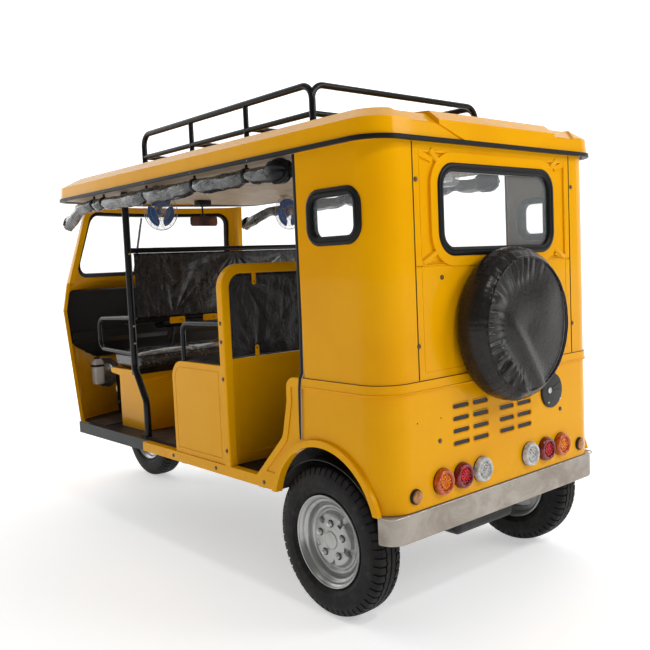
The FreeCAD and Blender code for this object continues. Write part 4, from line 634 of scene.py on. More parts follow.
def rim(name, body, outer, through):
    """Pressed wheel: rolled lip, stepped barrel and a five-lobed disc with domed nuts; the dark ring round
    each nut is painted shade of a recess.
    """
    centre = middle(name)
    axis = X_AXIS * outer
    form, nuts, shade_rings = Form(), Form(), Form()
    for section, steps, shape in ((RIM_FACE, 120, None), (DISC_FACE, 120, lobes), (HUB_CAP, 60, None),
                                  (RIM_BACK, 96, None), (RIM_INSIDE, 96, None)):
        form.lathe(section, centre, axis, steps, shape)
    if through:
        form.lathe(HUB_BORE, centre, axis, 60)
    form.done(f"{name}_pressing", WHEEL_SILVER, "silver_paint", (name,), body, angle=50)
    for turn in circle(NUTS):
        spot = centre + Matrix.Rotation(turn, 3, "X") @ (Z_AXIS * NUT_CIRCLE)
        # dark ring round the nut: painted shade of a recess
        shade_rings.lathe(NUT_SHADE_RING, spot, axis, 24)
        nuts.lathe(NUT_HEXAGON, spot, axis, 6, capped=True)
        nuts.lathe(NUT_DOME, spot, axis, 18)
    nuts.done(f"{name}_nuts", NUT_SILVER, "bare_metal", body=body, angle=30)
    # dark finish on the rings: painted shade
    shade_rings.done(f"{name}_nut_shade_rings", RUNNING, "bare_metal", body=body, angle=60)


def wheels():
    for name, body, outer, through in (("rear_left", "rear_wheel_left", 1, False),
                                       ("rear_right", "rear_wheel_right", -1, False),
                                       ("front", "front_wheel", 1, True)):
        tyre(f"tyre_{name}", body)
        rim(f"rim_{name}", body, outer, through)


# ------------------------------------------------------------------ tail

# depth share, radius share: from the drawn edge behind, over the tread, to the face
COVER_SECTION = [
    (0.02, 0.80), (0.03, 0.88), (0.07, 0.945), (0.16, 0.982), (0.30, 0.996), (0.48, 0.998), (0.64, 0.985),
    (0.78, 0.955), (0.885, 0.905), (0.925, 0.872), (0.938, 0.858), (0.926, 0.848), (0.935, 0.83),
]
COVER_SECTION += [(0.935 + 0.02 * math.sin(s * 3.1), 0.83 * (1 - s)) for s in (k / 22 for k in range(1, 23))]


def cover_pleats(ring, share):
    """Two noises round the cover's seam."""
    pleat = noise.noise(ring * 6.5 + Vector((4.0, 1.0, share * 1.5)))
    return pleat, noise.noise(ring * 21.0 + Vector((1.0, 7.0, share * 3.0)))


def cover_lift(out, wide, pleat, fine):
    """How far the cover's face stands out: pinches by the seam, waves and two hanging folds."""
    near = smooth_step(0.52, 0.78, wide)
    pinch = smooth_step(-0.35, 0.75, out.x * 0.9 + out.z * 0.2)
    lift = (abs(pleat) * 0.034 + fine * 0.005) * near * pinch
    lift += wave(out * wide * 0.28 + Z_AXIS * 2, 5, 2.0) * 0.010 * smooth_step(0.0, 0.5, wide)
    across, down = (out.z * 0.6 - out.x * 0.8) * wide, (out.z * 0.8 + out.x * 0.6) * wide
    for place, width in ((-0.62, 0.07), (-0.30, 0.12)):
        lift += bump_at(across, place, width) * (1 - smooth_step(-0.2, 0.6, down)) * 0.013
    return lift


def spare_cover():
    """Gathered vinyl cover drawn over the spare wheel."""
    low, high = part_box("spare_wheel_cover")
    centre = Vector(((low.x + high.x) / 2, low.y, (low.z + high.z) / 2))
    radius, deep = (high.x - low.x) / 2, high.y - low.y
    turns = circle(288)
    rows = []
    for deep_share, wide in COVER_SECTION:
        row = []
        for turn in turns:
            out = Vector((math.cos(turn), 0, math.sin(turn)))
            pleat, fine = cover_pleats(Vector((math.cos(turn), math.sin(turn), 0)), wide)
            lift = 0.0
            if deep_share > 0.9 and wide < 0.86:
                lift = cover_lift(out, wide, pleat, fine)
            elif wide > 0.93:
                lift = pleat * 0.003 + fine * 0.002
            size = wide * radius * (1 + 0.006 * fine * (wide > 0.84)) - 0.002
            hang = bump_at(turn, math.radians(283), 0.16) * smooth_step(0.78, 0.95, wide)
            size += hang * 0.010 * smooth_step(0.5, 0.9, deep_share)
            lift += hang * 0.012 * (deep_share > 0.85)
            row.append(centre + out * size + Y_AXIS * (deep * deep_share + lift - 0.004))
        rows.append(row)
    form = Form().rows(rows, around=True)
    cover = form.done("spare_cover_vinyl", VINYL, "black_vinyl", ("spare_wheel_cover",), smooth=1, angle=80,
                      weld=2e-4)
    line = []
    for turn in turns:
        ring = Vector((math.cos(turn), math.sin(turn), 0))
        shift = noise.noise(ring * 21.0 + Vector((1.0, 7.0, 2.5))) * 0.004
        line.append(centre + Vector((ring.x, 0, ring.y)) * (radius * 0.858 - 0.002)
                    + Y_AXIS * (deep * 0.932 + shift * 0.3))
    Form().tube(line, 0.0028, 6, closed=True).done("spare_cover_piping", VINYL, "black_vinyl")


# depth share, radius share of a tail lamp's rim and of its sunk face
LAMP_RIM = (
    (0, 1), (0.45, 0.995), (0.74, 0.965), (0.92, 0.89), (0.96, 0.8), (0.9, 0.715), (0.76, 0.665),
    (0.5, 0.635),
)
LAMP_FACE = ((0.5, 0.645), (0.62, 0.4), (0.66, 0))
LAMP_OPTIC = ((0.55, 0.0048), (0.76, 0.004), (0.86, 0.002), (0.88, 0))
LAMP_GASKET = ((0, 0.047), (0.004, 0.047), (0.005, 0.0455))
LAMP_RADIUS, LAMP_DEPTH = 0.0465, 0.024
LAMP_ROW = (
    ("amber", AMBER, AMBER_RIM, 363, ("lamps_amber", "lamp_bezels")),
    ("red", RED, RED_RIM, 256, ("lamps_red",)),
    ("clear", CLEAR, CLEAR_RIM, 147, ("lamps_clear",)),
)
MARKER_CUP = ((0, 0.0265), (0.006, 0.0265), (0.009, 0.025), (0.01, 0.0215))
MARKER_LENS = ((0.008, 0.0225), (0.013, 0.0205), (0.0155, 0.014), (0.0165, 0.0))


def tail_lamps():
    """Three round lamps each side with sunk faces of small optics, and a small marker outside them."""
    for colour, finish, rim_finish, place, stands_for in LAMP_ROW:
        spots = both(place, REAR_FACE, LAMP_LEVEL, Y_AXIS)
        lip, sunk = ([(d * LAMP_DEPTH, r * LAMP_RADIUS) for d, r in part] for part in (LAMP_RIM, LAMP_FACE))
        turned(f"tail_rim_{colour}", rim_finish, f"{colour}_lens", spots, (lip, 64), angle=50)
        dome = Form()
        for centre, axis in spots:
            dome.lathe(sunk, centre, axis, 48)
            side = axis.cross(Z_AXIS).normalized()
            for share, count in ((0.0, 1), (0.235, 6), (0.455, 12)):
                for turn in circle(count, 0.5):
                    spot = centre + (side * math.cos(turn) + Z_AXIS * math.sin(turn)) * LAMP_RADIUS * share
                    dome.lathe([(d * LAMP_DEPTH, r) for d, r in LAMP_OPTIC], spot, axis, 12)
        dome.done(f"tail_lens_{colour}", finish, f"{colour}_lens", stands_for)
        turned(f"tail_gasket_{colour}", SEAL, "seal_rubber", spots, (LAMP_GASKET, 48))
    spots = both(500, REAR_FACE, 487, Y_AXIS)
    turned("marker_cups", BLACK_PLASTIC, "black_plastic", spots, (MARKER_CUP, 40))
    turned("marker_lenses", AMBER_DARK, "amber_lens", spots, (MARKER_LENS, 40), angle=24)


HEAD_RING = ((-0.03, 0.086), (0.002, 0.086), (0.01, 0.083), (0.012, 0.078), (0.006, 0.0725), (-0.004, 0.072))
HEAD_BOWL = ((-0.004, 0.072), (-0.02, 0.06), (-0.034, 0.04), (-0.04, 0.016), (-0.04, 0.0))
HEAD_BULB = ((-0.04, 0.009), (-0.014, 0.009), (-0.01, 0.0))
HEAD_GLASS = ((-0.002, 0.0718), (0.004, 0.06), (0.008, 0.04), (0.0105, 0.018), (0.011, 0.0))
CORNER_RING = ((-0.02, 0.032), (0.006, 0.032), (0.009, 0.029))
CORNER_LENS = ((0.006, 0.0295), (0.014, 0.026), (0.018, 0.016), (0.0195, 0.0))


def front_lamps():
    """Headlamps behind domed glass and the amber corner lamps, set back from their nodes' foremost faces."""
    spots = both(330, 0, 690, -Y_AXIS) + both(440, 0, 850, -Y_AXIS)
    for (place, _), (node, back) in zip(spots, (("lamp_bezels", 0.012),) * 2 + (("lamps_amber", 0.020),) * 2):
        place.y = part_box(node)[0].y + back
    heads, corners = spots[:2], spots[2:]
    turned("head_lamp_bowls", STEEL, "clear_lens", heads, (HEAD_BOWL, 64), (HEAD_BULB, 24), angle=60)
    turned("head_lamp_glass", LAMP_GLASS, "clear_lens", heads, (HEAD_GLASS, 64), angle=60)
    turned("head_lamp_rings", STEEL, "black_plastic", heads, (HEAD_RING, 72), angle=30)
    turned("corner_lenses", AMBER, "amber_lens", corners, (CORNER_LENS, 48), angle=24)
    turned("corner_cups", BLACK_PLASTIC, "black_plastic", corners, (CORNER_RING, 48))


# ------------------------------------------------------------------ window rubber

SEAL_SECTION = [
    (-0.014, -0.002), (-0.0155, 0.002), (-0.0135, 0.0075), (-0.008, 0.0102), (-0.0015, 0.0098),
    (0.0005, 0.007), (0.0025, 0.0064), (0.0045, 0.0084), (0.0105, 0.0078), (0.015, 0.0052), (0.0165, 0.001),
    (0.0155, -0.004),
    (0.0155, -0.02), (0.014, -0.026), (-0.012, -0.026), (-0.014, -0.02),
]


def seals():
    """Rubber channels round the rear, side and front windows."""
    form = Form()
    line = [at(x, REAR_FACE, z) for x, z in window_line(-328, 328, 1302, 1593, 68, 10)]
    form.sweep(SEAL_SECTION, line, Y_AXIS)
    for _, side in SIDES:
        line = [at(side * SIDE_FACE, y, z) for y, z in window_line(12, 254, 1356, 1518, 48, 8)]
        form.sweep(SEAL_SECTION, line, X_AXIS * side)
    skin = skin_of("windscreen_frame", "window_glass")
    corners = [Vector((x * MM, z * MM, 0)) for x, z in ((-520, 1270), (520, 1270), (456, 1616), (-456, 1616))]
    line = dense(rounded(corners, 0.072, 8, closed=True), 0.05, True)
    path = [skin.ray_cast(Vector((p.x, CAD_BOX[0].y - 0.2, p.y)), Y_AXIS)[0] for p in line]
    known = [hit for hit in path if hit]
    spots = [hit or min(known, key=lambda k: (k.x - p.x) ** 2 + (k.z - p.y) ** 2)
             for p, hit in zip(line, path)]
    form.sweep([(a * 0.8, b * 0.8) for a, b in SEAL_SECTION], spots, -Y_AXIS)
    form.done("window_rubber", SEAL, "seal_rubber", ("window_seals",), angle=50)


# ------------------------------------------------------------------ soft goods

PAD_INSET, PAD_VOXEL, PAD_PRESSURE = 0.010, 0.011, 4.0
# share of the half thickness towards the face, how far the outline draws in
PAD_LEVELS = ((-1.0, 0.03), (-0.86, 0.008), (0.0, 0.004), (0.72, 0.0), (0.92, 0.01), (1.0, 0.034))


def swell(piece, cap):
    """Blows a closed piece up as cloth; no point moves further than cap."""
    before = [v.co.copy() for v in piece.data.vertices]
    cloth = piece.modifiers.new("cloth", "CLOTH")
    cloth.settings.use_pressure = True
    cloth.settings.uniform_pressure_force = PAD_PRESSURE
    cloth.settings.effector_weights.gravity = 0.0
    for number in range(1, 21):
        bpy.context.scene.frame_set(number)
    ready = piece.evaluated_get(bpy.context.evaluated_depsgraph_get())
    after = [v.co.copy() for v in ready.data.vertices]
    piece.modifiers.clear()
    for v, start, end in zip(piece.data.vertices, before, after):
        move = end - start
        v.co = start + move * min(1.0, cap / max(move.length, 1e-9))


def cushion(node, finish, channels, upright=False, crown=0.010):
    """A crowned pad in a node's box, with sewn channels across it and piping round its face."""
    low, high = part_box(node)
    centre, half = (low + high) / 2, (high - low) / 2 - Vector((PAD_INSET,) * 3)
    face, up = (-Y_AXIS, Z_AXIS) if upright else (Z_AXIS, Y_AXIS)
    thin, tall = (1, 2) if upright else (2, 1)

    def outline(draw, radius, steps):
        a, b = (half.x - draw) * 1000, (half[tall] - draw) * 1000
        return [X_AXIS * (x * MM) + up * (v * MM) for x, v in window_line(-a, a, -b, b, radius, steps)]

    rows = [[centre + p + face * (share * half[thin]) for p in outline(draw, 34, 4)]
            for share, draw in PAD_LEVELS]
    piece = Form().rows(rows, around=True, ends=True).raw(f"{node}_pad")
    remesh = piece.modifiers.new("remesh", "REMESH")
    remesh.mode, remesh.voxel_size = "VOXEL", PAD_VOXEL
    settle(piece)
    swell(piece, PAD_INSET * 1.1)
    for v in piece.data.vertices:
        near = v.co - centre
        front = smooth_step(0.1, 0.9, near.dot(face) / half[thin])
        bulge = max(0.0, 1 - (near.x / half.x) ** 4) * max(0.0, 1 - (near[tall] / half[tall]) ** 4)
        groove = max(bump_at(near.x, half.x * c, 0.009) for c in channels)
        v.co += face * front * (bulge * crown - groove * 0.009 * bulge ** 0.3)
        v.co += face * front * wave(v.co, 9, 1.5) * 0.0018
    piece.modifiers.new("smooth", "SUBSURF").levels = 1
    dress(piece, finish, (node,), CHASSIS, 70)
    points = [v.co.copy() for v in piece.data.vertices]
    tree = BVHTree.FromPolygons(points, [tuple(f.vertices) for f in piece.data.polygons])
    lift = centre + face * half[thin] * 0.95
    loop = [tree.find_nearest(lift + p)[0] for p in dense(outline(0.008, 30, 6), 0.02, True)]
    Form().tube(loop, 0.0030, 6, closed=True).done(f"{node}_piping", VINYL, "seat_vinyl", angle=60)


def cushions():
    cushion("driver_cushion", SEAT_FILM, (-0.34, 0.34))
    cushion("passenger_cushion", CUSHION, (-0.34, 0.34))
    cushion("passenger_backrest", CUSHION, (-0.5, 0.0, 0.5), upright=True, crown=0.006)


SHEET_COLUMNS, SHEET_ROWS = 200, 56


def fold_depth(u, v, wide, tall, seed, knots):
    """How far a stretched sheet stands off its plane: folds run out from its knots, places (u, v)."""
    depth = wave(Vector((u * 3.2 + v * 0.9, v * 0.9 - u * 0.5, 0)), 1.6, seed) * 0.010
    for knot_u, knot_v in knots:
        du, dv = (u - knot_u) * wide, (v - knot_v) * tall
        far, way = math.hypot(du, dv), math.atan2(dv, du)
        spoke = noise.noise(Vector((math.cos(way) * 2.6, math.sin(way) * 2.6, seed)))
        depth += (abs(spoke) ** 0.7 - 0.3) * 0.016 * math.exp(-far / 0.22) * smooth_step(0.0, 0.06, far)
    return depth + abs(wave(Vector((u * 7.0 - v * 2.2, v * 1.2 + u, 1)), 1.2, seed + 3)) * 0.006


def hanging(name, x, low, high, y, one_way, seed, knots, stands_for=()):
    """A film-covered sheet stretched between bars."""
    wide, tall = 2 * x * MM, (high - low) * MM
    rows = []
    for v in (j / SHEET_ROWS for j in range(SHEET_ROWS + 1)):
        row = []
        for u in (i / SHEET_COLUMNS for i in range(SHEET_COLUMNS + 1)):
            edge = min(1.0, min(u, 1 - u) * 14, min(v, 1 - v) * 6)
            depth = fold_depth(u, v, wide, tall, seed, knots)
            if one_way:
                depth = abs(depth)
            row.append(at(-x + 2 * x * u, y, low + (high - low) * v) + Y_AXIS * depth * edge)
        rows.append(row)
    piece = Form().rows(rows).done(name, SCREEN_FILM, "black_vinyl", stands_for, angle=80)


def cabin_sheets():
    """The sheets behind the driver and across the hoop, with hems along their bars."""
    hanging("driver_screen", 521, 1043, 1371, -1490, False, 2.0, ((0.08, 0.95), (0.42, 0.98), (0.80, 0.0)),
            ("cabin_screens",))
    hanging("hoop_screen", 587, 905, 1253, -580, True, 5.0,
            ((0.93, 0.95), (0.885, 0.0), (0.5, 1.0), (0.12, 0.0)))
    hems = Form()
    for x, low, high, y in ((521, 1043, 1371, -1490), (587, 905, 1253, -579)):
        for z in (low + 4, high - 4):
            hems.tube(dense([at(-x, y, z), at(x, y, z)], 0.08), 0.0042, 6)
    hems.done("screen_hems", VINYL, "black_vinyl")


CURTAIN_X, CURTAIN_Z = 612, 1629
CURTAIN_STRAPS = (-1700, -1590, -1154, -739, -367)
CURTAIN_POINTS, CURTAIN_TURNS, CURTAIN_GIRTH = 72, 2.15, 0.0385
STRAP = ((-0.014, 0.0268), (-0.012, 0.0285), (0.012, 0.0285), (0.014, 0.0268))
CURTAIN_BUNCH = (
    (0.0, 0.0), (-0.004, 0.02), (0.004, 0.036), (0.024, 0.044), (0.06, 0.046), (0.084, 0.04), (0.1, 0.03),
    (0.104, 0.0),
)
CURTAIN_TIP = ((-0.03, 0.03), (-0.026, 0.034), (0.006, 0.033), (0.016, 0.024), (0.018, 0.0))


def ripples(_, along, radius, turn):
    return along, radius * (1 + 0.03 * math.sin(5 * turn))


def pleats(_, along, radius, turn):
    return along + 0.002 * math.sin(7 * turn), radius * (1 + 0.05 * math.sin(11 * turn + 9 * along))


def curtain(word, side):
    """A cloth and film curtain rolled up under the roof's edge, tied with straps."""
    corners = [at(side * CURTAIN_X, -200, CURTAIN_Z), at(side * CURTAIN_X, -1850, CURTAIN_Z),
               at(side * (CURTAIN_X - 24), -2080, 1556)]
    line = dense(rounded(corners, 0.18, 10), 0.014)
    rows, travelled, seed = [], 0.0, 4.0 + side
    for i, point in enumerate(line):
        run = run_at(line, i)
        out = (X_AXIS * side - run * run.dot(X_AXIS * side)).normalized()
        over = run.cross(out)
        over = over if over.z > 0 else -over
        travelled += (point - line[max(i - 1, 0)]).length
        tie = max(bump_at((point.y - REAR_AXLE) * 1000, strap, 34) for strap in CURTAIN_STRAPS)
        reached = Vector((travelled, 0, 0))
        girth = CURTAIN_GIRTH * (1 + 0.16 * wave(reached, 2.25, seed)) * (1 - 0.20 * tie)
        sway = 0.8 * side + wave(reached, 1.5, seed + 5) * 0.5
        row = []
        for share in (k / (CURTAIN_POINTS - 1) for k in range(CURTAIN_POINTS)):
            turn = math.tau * CURTAIN_TURNS * share + sway
            ring = Vector((math.cos(turn), math.sin(turn), 0))
            place = Vector((ring.x, ring.y, travelled * 4.5))
            crease = abs(wave(place + ring * share, 3.1, seed + 2)) * 0.26
            crease = (wave(place, 1.6, seed) * 0.20 + crease - 0.06) * (1 - 0.6 * tie)
            radius = girth * (0.50 + 0.40 * share + crease * (0.4 + 0.6 * share))
            row.append(point - Z_AXIS * (0.010 * (1 - tie)) + (out * ring.x + over * ring.y) * radius)
        rows.append(row)
    stands_for = ("curtain_rolls",) if side > 0 else ()
    roll = Form().rows(rows).done(f"curtain_{word}", CURTAIN, "curtain_vinyl", stands_for, angle=75)
    cloth = sum((b - a).length for row in rows for a, b in zip(row, row[1:])) / len(rows)
    bands = Form()
    for strap in CURTAIN_STRAPS:
        spot = at(side * CURTAIN_X, strap, CURTAIN_Z)
        bands.lathe(STRAP, spot, Y_AXIS, 32, ripples, capped=True)
        bands.tube([spot + Z_AXIS * 0.026, spot + Z_AXIS * 0.041], 0.006, 6)
    bands.lathe(CURTAIN_BUNCH, at(side * (CURTAIN_X - 4), -218, CURTAIN_Z - 6), Y_AXIS, 66, pleats)
    bands.lathe(CURTAIN_TIP, line[-1], (line[-1] - line[-4]).normalized(), 40, pleats)
    bands.done(f"curtain_straps_{word}", SEAL, "black_vinyl", angle=60)


# ------------------------------------------------------------------ rubber, edges and fixings

def from_behind(x, z, y):
    """A point of an outline seen from behind, at a distance y."""
    return at(x, y, z)


def studs(name, finish, spots, radius, tall):
    """Domed heads: each spot is a place and an outward direction."""
    high = radius * tall
    dome = ((-0.001, radius), (high * 0.5, radius * 0.97), (high * 0.85, radius * 0.72),
            (high, radius * 0.35), (high, 0))
    turned(name, finish, "bare_metal", spots, (dome, 14), angle=60)


GUTTER_SECTION = (
    (-0.018, -0.005), (0.002, -0.009), (0.0068, -0.0072), (0.0078, -0.002), (0.0064, 0.004), (0.0074, 0.0078),
    (0.0042, 0.008), (0.0034, 0.003), (0.0004, -0.0016), (-0.018, -0.001),
)


def gutter():
    """Rubber rain channel with a turned-up lip round the roof, and its screws."""
    corners = [at(x, y, 1676) for x, y in ((650, 368), (-650, 368), (-650, -2089), (0, -2250), (650, -2089))]
    line = rounded(corners, (0.108, 0.108, 0.108, 2.2, 0.108), 8, closed=True)
    form = Form().sweep(GUTTER_SECTION, dense(line, 0.06, True), Z_AXIS)
    form.done("gutter_rubber", SEAL, "seal_rubber", ("roof_gutter",), angle=40)
    spots = [spot for y in range(-1900, 100, 400) for spot in both(657, y, 1674, X_AXIS, mirror=True)]
    studs("gutter_screws", STEEL, spots, 0.0024, 0.35)


def body_bolts():
    """Bolts of the rear panel, the hoop, the sills and the posts."""
    rear = ((446, 1545), (457, 990), (-475, 1545), (-467, 994), (330, 1216), (-330, 1216), (367, 654),
            (-367, 654))
    studs("panel_bolts", BOLT, [(at(x, REAR_FACE, z), Y_AXIS) for x, z in rear], 0.0085, 0.6)
    flank = [(-580, z) for z in (1055, 978, 825, 527)] + [(y, 441) for y in (-1020, -670, -330)]
    spots = [spot for y, z in flank for spot in both(629, y, z, X_AXIS, mirror=True)]
    studs("side_bolts", BOLT, spots, 0.0085, 0.5)
    spots = [spot for z in (1369, 1010, 924) for spot in both(552, -1473, z, Y_AXIS)]
    studs("post_bolts", BRASS, spots, 0.0055, 0.6)


# y, z, x, half the strip's width, from the roof down
EDGE_STATIONS = (
    (-66, 1670, 621, 9), (-66, 1500, 621, 9), (-66, 1100, 622, 8), (-68, 890, 625, 8), (-74, 868, 631, 7),
    (-80, 830, 630.5, 7), (-86, 700, 630, 5), (-88, 645, 629.5, 3),
)
STRIP_SECTION = ((-6, -1), (3, -1), (5, 0), (3, 1), (-6, 1))
BEAD_SECTION = ((-4, 0), (2, 0), (2, 2), (-4, 2))


def edge_strips():
    """Tapering rubber strips down the front edges of the upper body and the tub, each with a pale bead."""
    form, pale = Form(), Form()
    for _, side in SIDES:
        form.rows([[at(side * (x + out), y + half * way, z) for out, way in STRIP_SECTION]
                   for y, z, x, half in EDGE_STATIONS], around=True, ends=True)
        pale.rows([[at(side * (x + out), y + half + past, z) for out, past in BEAD_SECTION]
                   for y, z, x, half in EDGE_STATIONS], around=True, ends=True)
    form.done("edge_strips", SEAL, "seal_rubber", angle=50)
    pale.done("edge_beads", CREAM, "white_plastic", angle=50)


def bumper_edge():
    """Bright rolled edge along the bumper's top."""
    corners = [at(x, y, 431) for x, y in ((617, 286), (617, 355), (-617, 355), (-617, 286))]
    form = Form().tube(dense(rounded(corners, 0.067, 12), 0.08), 0.0028, 8)
    form.done("bumper_edge", STEEL, "silver_paint", angle=60)


FLAP = ((0.0, 0.0695), (0.006, 0.069), (0.0085, 0.0665), (0.0092, 0.062), (0.0096, 0.0))
LOCK_BARREL = ((0.009, 0.012), (0.0125, 0.0115), (0.0128, 0.008), (0.0118, 0.0075), (0.0118, 0.0))
FLAP_SCREW = ((0.009, 0.0042), (0.0112, 0.0036), (0.0116, 0.0))


def filler():
    """Round filler flap with two ribs, a lock barrel and two screws."""
    low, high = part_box("fuel_flap")
    centre = Vector(((low.x + high.x) / 2, low.y, (low.z + high.z) / 2))
    lock = centre + Vector((0.022, 0, 0.002))
    cap, metal = Form().lathe(FLAP, centre, Y_AXIS, 72), Form().lathe(LOCK_BARREL, lock, Y_AXIS, 32)
    for turn, reach in ((math.radians(158), 0.078), (math.radians(182), 0.070)):
        end = lock + Vector((math.cos(turn), 0, math.sin(turn))) * reach
        cap.tube([lock + Y_AXIS * 0.0096, end + Y_AXIS * 0.0092], 0.0014, 6)
    cap.done("filler_cap", BLACK_PLASTIC, "black_plastic", ("fuel_flap",), angle=30)
    for x, z in ((0.030, -0.046), (-0.050, -0.040)):
        metal.lathe(FLAP_SCREW, centre + Vector((x, 0, z)), Y_AXIS, 16)
    metal.done("filler_lock", STEEL, "bare_metal", angle=30)


def slot_rims():
    """Pressed lips round the tail's vents, and gauze behind them."""
    form, gauze = Form(), Form()
    for x0, z in [(x, 769 - 44 * row) for x in (208, 98, -57, -167) for row in range(4)]:
        lip = window_line(x0 - 3, x0 + 89, z - 19, z + 3, 10.9, 6)
        form.tube([at(x, 350.6, v) for x, v in lip], 0.0016, 6, closed=True)
        gauze.slab(window_line(x0, x0 + 86, z - 16, z, 7.9, 6), from_behind, (345, 348))
    form.done("vent_lips", YELLOW, "body_paint", angle=60)
    gauze.done("vent_gauze", BLACK_PLASTIC, "black_plastic")


def belt_lines():
    """Dark joint and rolled bead of the belt, dark joints of the rear panel, beads of its fields."""
    joint, bead = Form(), Form()
    for form, out, level, size in ((joint, 0.6, 870.5, 0.0024), (bead, 6.2, 839, 0.0030)):
        x, y = SIDE_FACE + out, REAR_FACE + out
        corners = [at(x, -70, level), at(x, y, level), at(-x, y, level), at(-x, -70, level)]
        form.tube(dense(rounded(corners, (110 + out) * MM, 10), 0.10), size, 8)
    for _, side in SIDES:
        joint.tube([at(side * 460, REAR_FACE, 876), at(side * 460, REAR_FACE, 1668)], 0.0022, 8)
    for low, high in ((897, 1256), (1266, 1642)):
        loop = [at(x, 349.6, z) for x, z in window_line(-428, 428, low, high, 8, 3)]
        bead.tube(dense(loop, 0.15, True), 0.0019, 6, closed=True)
    joint.done("panel_joints", SEAL, "seal_rubber", angle=60)
    bead.done("panel_beads", YELLOW, "body_paint", angle=60)


def window_ribs():
    """Pressed ribs slanting to the rear window's corners."""
    form = Form()
    for _, side in SIDES:
        for start, end, half in ((Vector((374, 1648, 0)), Vector((322, 1602, 0)), 13),
                                 (Vector((424, 1264, 0)), Vector((350, 1302, 0)), 12)):
            run = (end - start).normalized()
            across = Vector((-run.y, run.x, 0))
            rows = []
            for draw, lift in ((0, 344), (3, 352), (6, 355)):
                spots = [spot + run * draw * way + across * edge * (half - draw)
                         for spot, way, edge in ((start, 1, 1), (start, 1, -1), (end, -1, -1), (end, -1, 1))]
                rows.append([at(side * spot.x, lift, spot.y) for spot in spots])
            form.rows(rows, around=True, ends=True)
    form.done("window_ribs", YELLOW, "body_paint", bevel=0.0015, angle=40)


RACK_FOOT = ((-0.006, 0.027), (0.004, 0.026), (0.007, 0.02), (0.01, 0.0145))


def brackets():
    """Slotted tabs on the hoop's bars, bracket plates under the driver's screen and rack feet."""
    form = Form()
    for x in (453, -453):
        for low, high in ((1206, 1259), (900, 952)):
            form.slab(window_line(x - 10, x + 10, low, high, 9.5, 5), from_behind, (HOOP_FACE, HOOP_FACE + 3))
    for x in (60, 260):
        form.slab(window_line(x, x + 90, 1006, 1040, 8, 4), from_behind, (-1470, -1467))
    form.done("tabs", YELLOW, "body_paint", bevel=0.001)
    spots = [(at(x, HOOP_FACE + 3, z), Y_AXIS) for x in (453, -453) for z in (1218, 940)]
    spots += [(at(x, -1467, 1023), Y_AXIS) for x in (84, 284)]
    studs("tab_screws", BOLT, spots, 0.0045, 0.4)
    spots = [(at(side * 475, y, 1784), Z_AXIS) for _, side in SIDES for y in (-1400, -965.5, -543.7, -122)]
    turned("rack_feet", BLACK, "black_paint", spots, (RACK_FOOT, 28), angle=40)


# ------------------------------------------------------------------ cabin fittings

FAN_MOTOR = (
    (-0.062, 0.0), (-0.06, 0.018), (-0.052, 0.027), (-0.044, 0.029), (-0.04, 0.0265), (-0.036, 0.029),
    (-0.024, 0.029), (-0.02, 0.0265), (-0.0155, 0.024), (-0.015, 0.0),
)
FAN_FOOT = ((-0.01, 0.0), (-0.01, 0.02), (-0.004, 0.026), (0.0, 0.026))
FAN_BOSS = ((-0.012, 0.006), (-0.0125, 0.016), (0.006, 0.0165), (0.012, 0.012), (0.0135, 0.0))
GUARD_CAP = ((0.0215, 0.011), (0.0235, 0.01), (0.0245, 0.0))
FAN_SPREAD, FAN_COLUMNS = math.radians(53), [j / 5 - 1 for j in range(11)]
GUARD_RADIUS, GUARD_WIRES = 0.0935, 56
# radius, distance behind the hub: the rim, three rings behind it and two before it
GUARD_RINGS = (
    (GUARD_RADIUS, 0.0), (GUARD_RADIUS - 0.004, 0.012), (GUARD_RADIUS * 0.72, 0.0205),
    (GUARD_RADIUS * 0.42, 0.022), (GUARD_RADIUS * 0.8, -0.018), (GUARD_RADIUS * 0.5, -0.024),
)
RIM_RING, *REAR_RINGS = GUARD_RINGS[:4]
REAR_WIRE = tuple(zip(((0.01, 0.0225), *reversed(REAR_RINGS), RIM_RING), (0, 0.35, 0.7, 1, 1)))
FRONT_WIRE = (RIM_RING, *GUARD_RINGS[4:], (0.026, -0.026))


def on_fan(hub, radius, turn, y):
    return hub + Vector((radius * math.cos(turn), y, radius * math.sin(turn)))


def guard(form, hub):
    """A fan's guard of rings, swept wires behind, straight wires before and a cap."""
    turns = circle(GUARD_WIRES)
    for radius, y in GUARD_RINGS:
        ring = [on_fan(hub, radius, turn, y) for turn in turns]
        form.tube(ring, 0.0018 if radius == GUARD_RADIUS else 0.0007, 5, closed=True)
    for k, turn in enumerate(turns):
        form.tube([on_fan(hub, r, turn + 0.16 * lead, y) for (r, y), lead in REAR_WIRE], 0.0005, 4)
        if k % 4 == 0:
            form.tube([on_fan(hub, r, turn, y) for r, y in FRONT_WIRE], 0.0009, 4)
    form.lathe(GUARD_CAP, hub, Y_AXIS, 28)


def rotor(hub):
    """Three broad twisted blades."""
    form = Form()
    for base in circle(3, 0.75):
        rows = []
        for r in (0.014, 0.022, 0.034, 0.048, 0.062, 0.072, 0.0765):
            spread = FAN_SPREAD * smooth_step(0.002, 0.05, r) * (1 - 0.12 * smooth_step(0.066, 0.078, r))
            pitch = 0.0085 * (1 - 0.35 * r / 0.078)
            rows.append([on_fan(hub, r, base + spread * share, pitch * share) for share in FAN_COLUMNS])
        form.rows(rows)
    return form


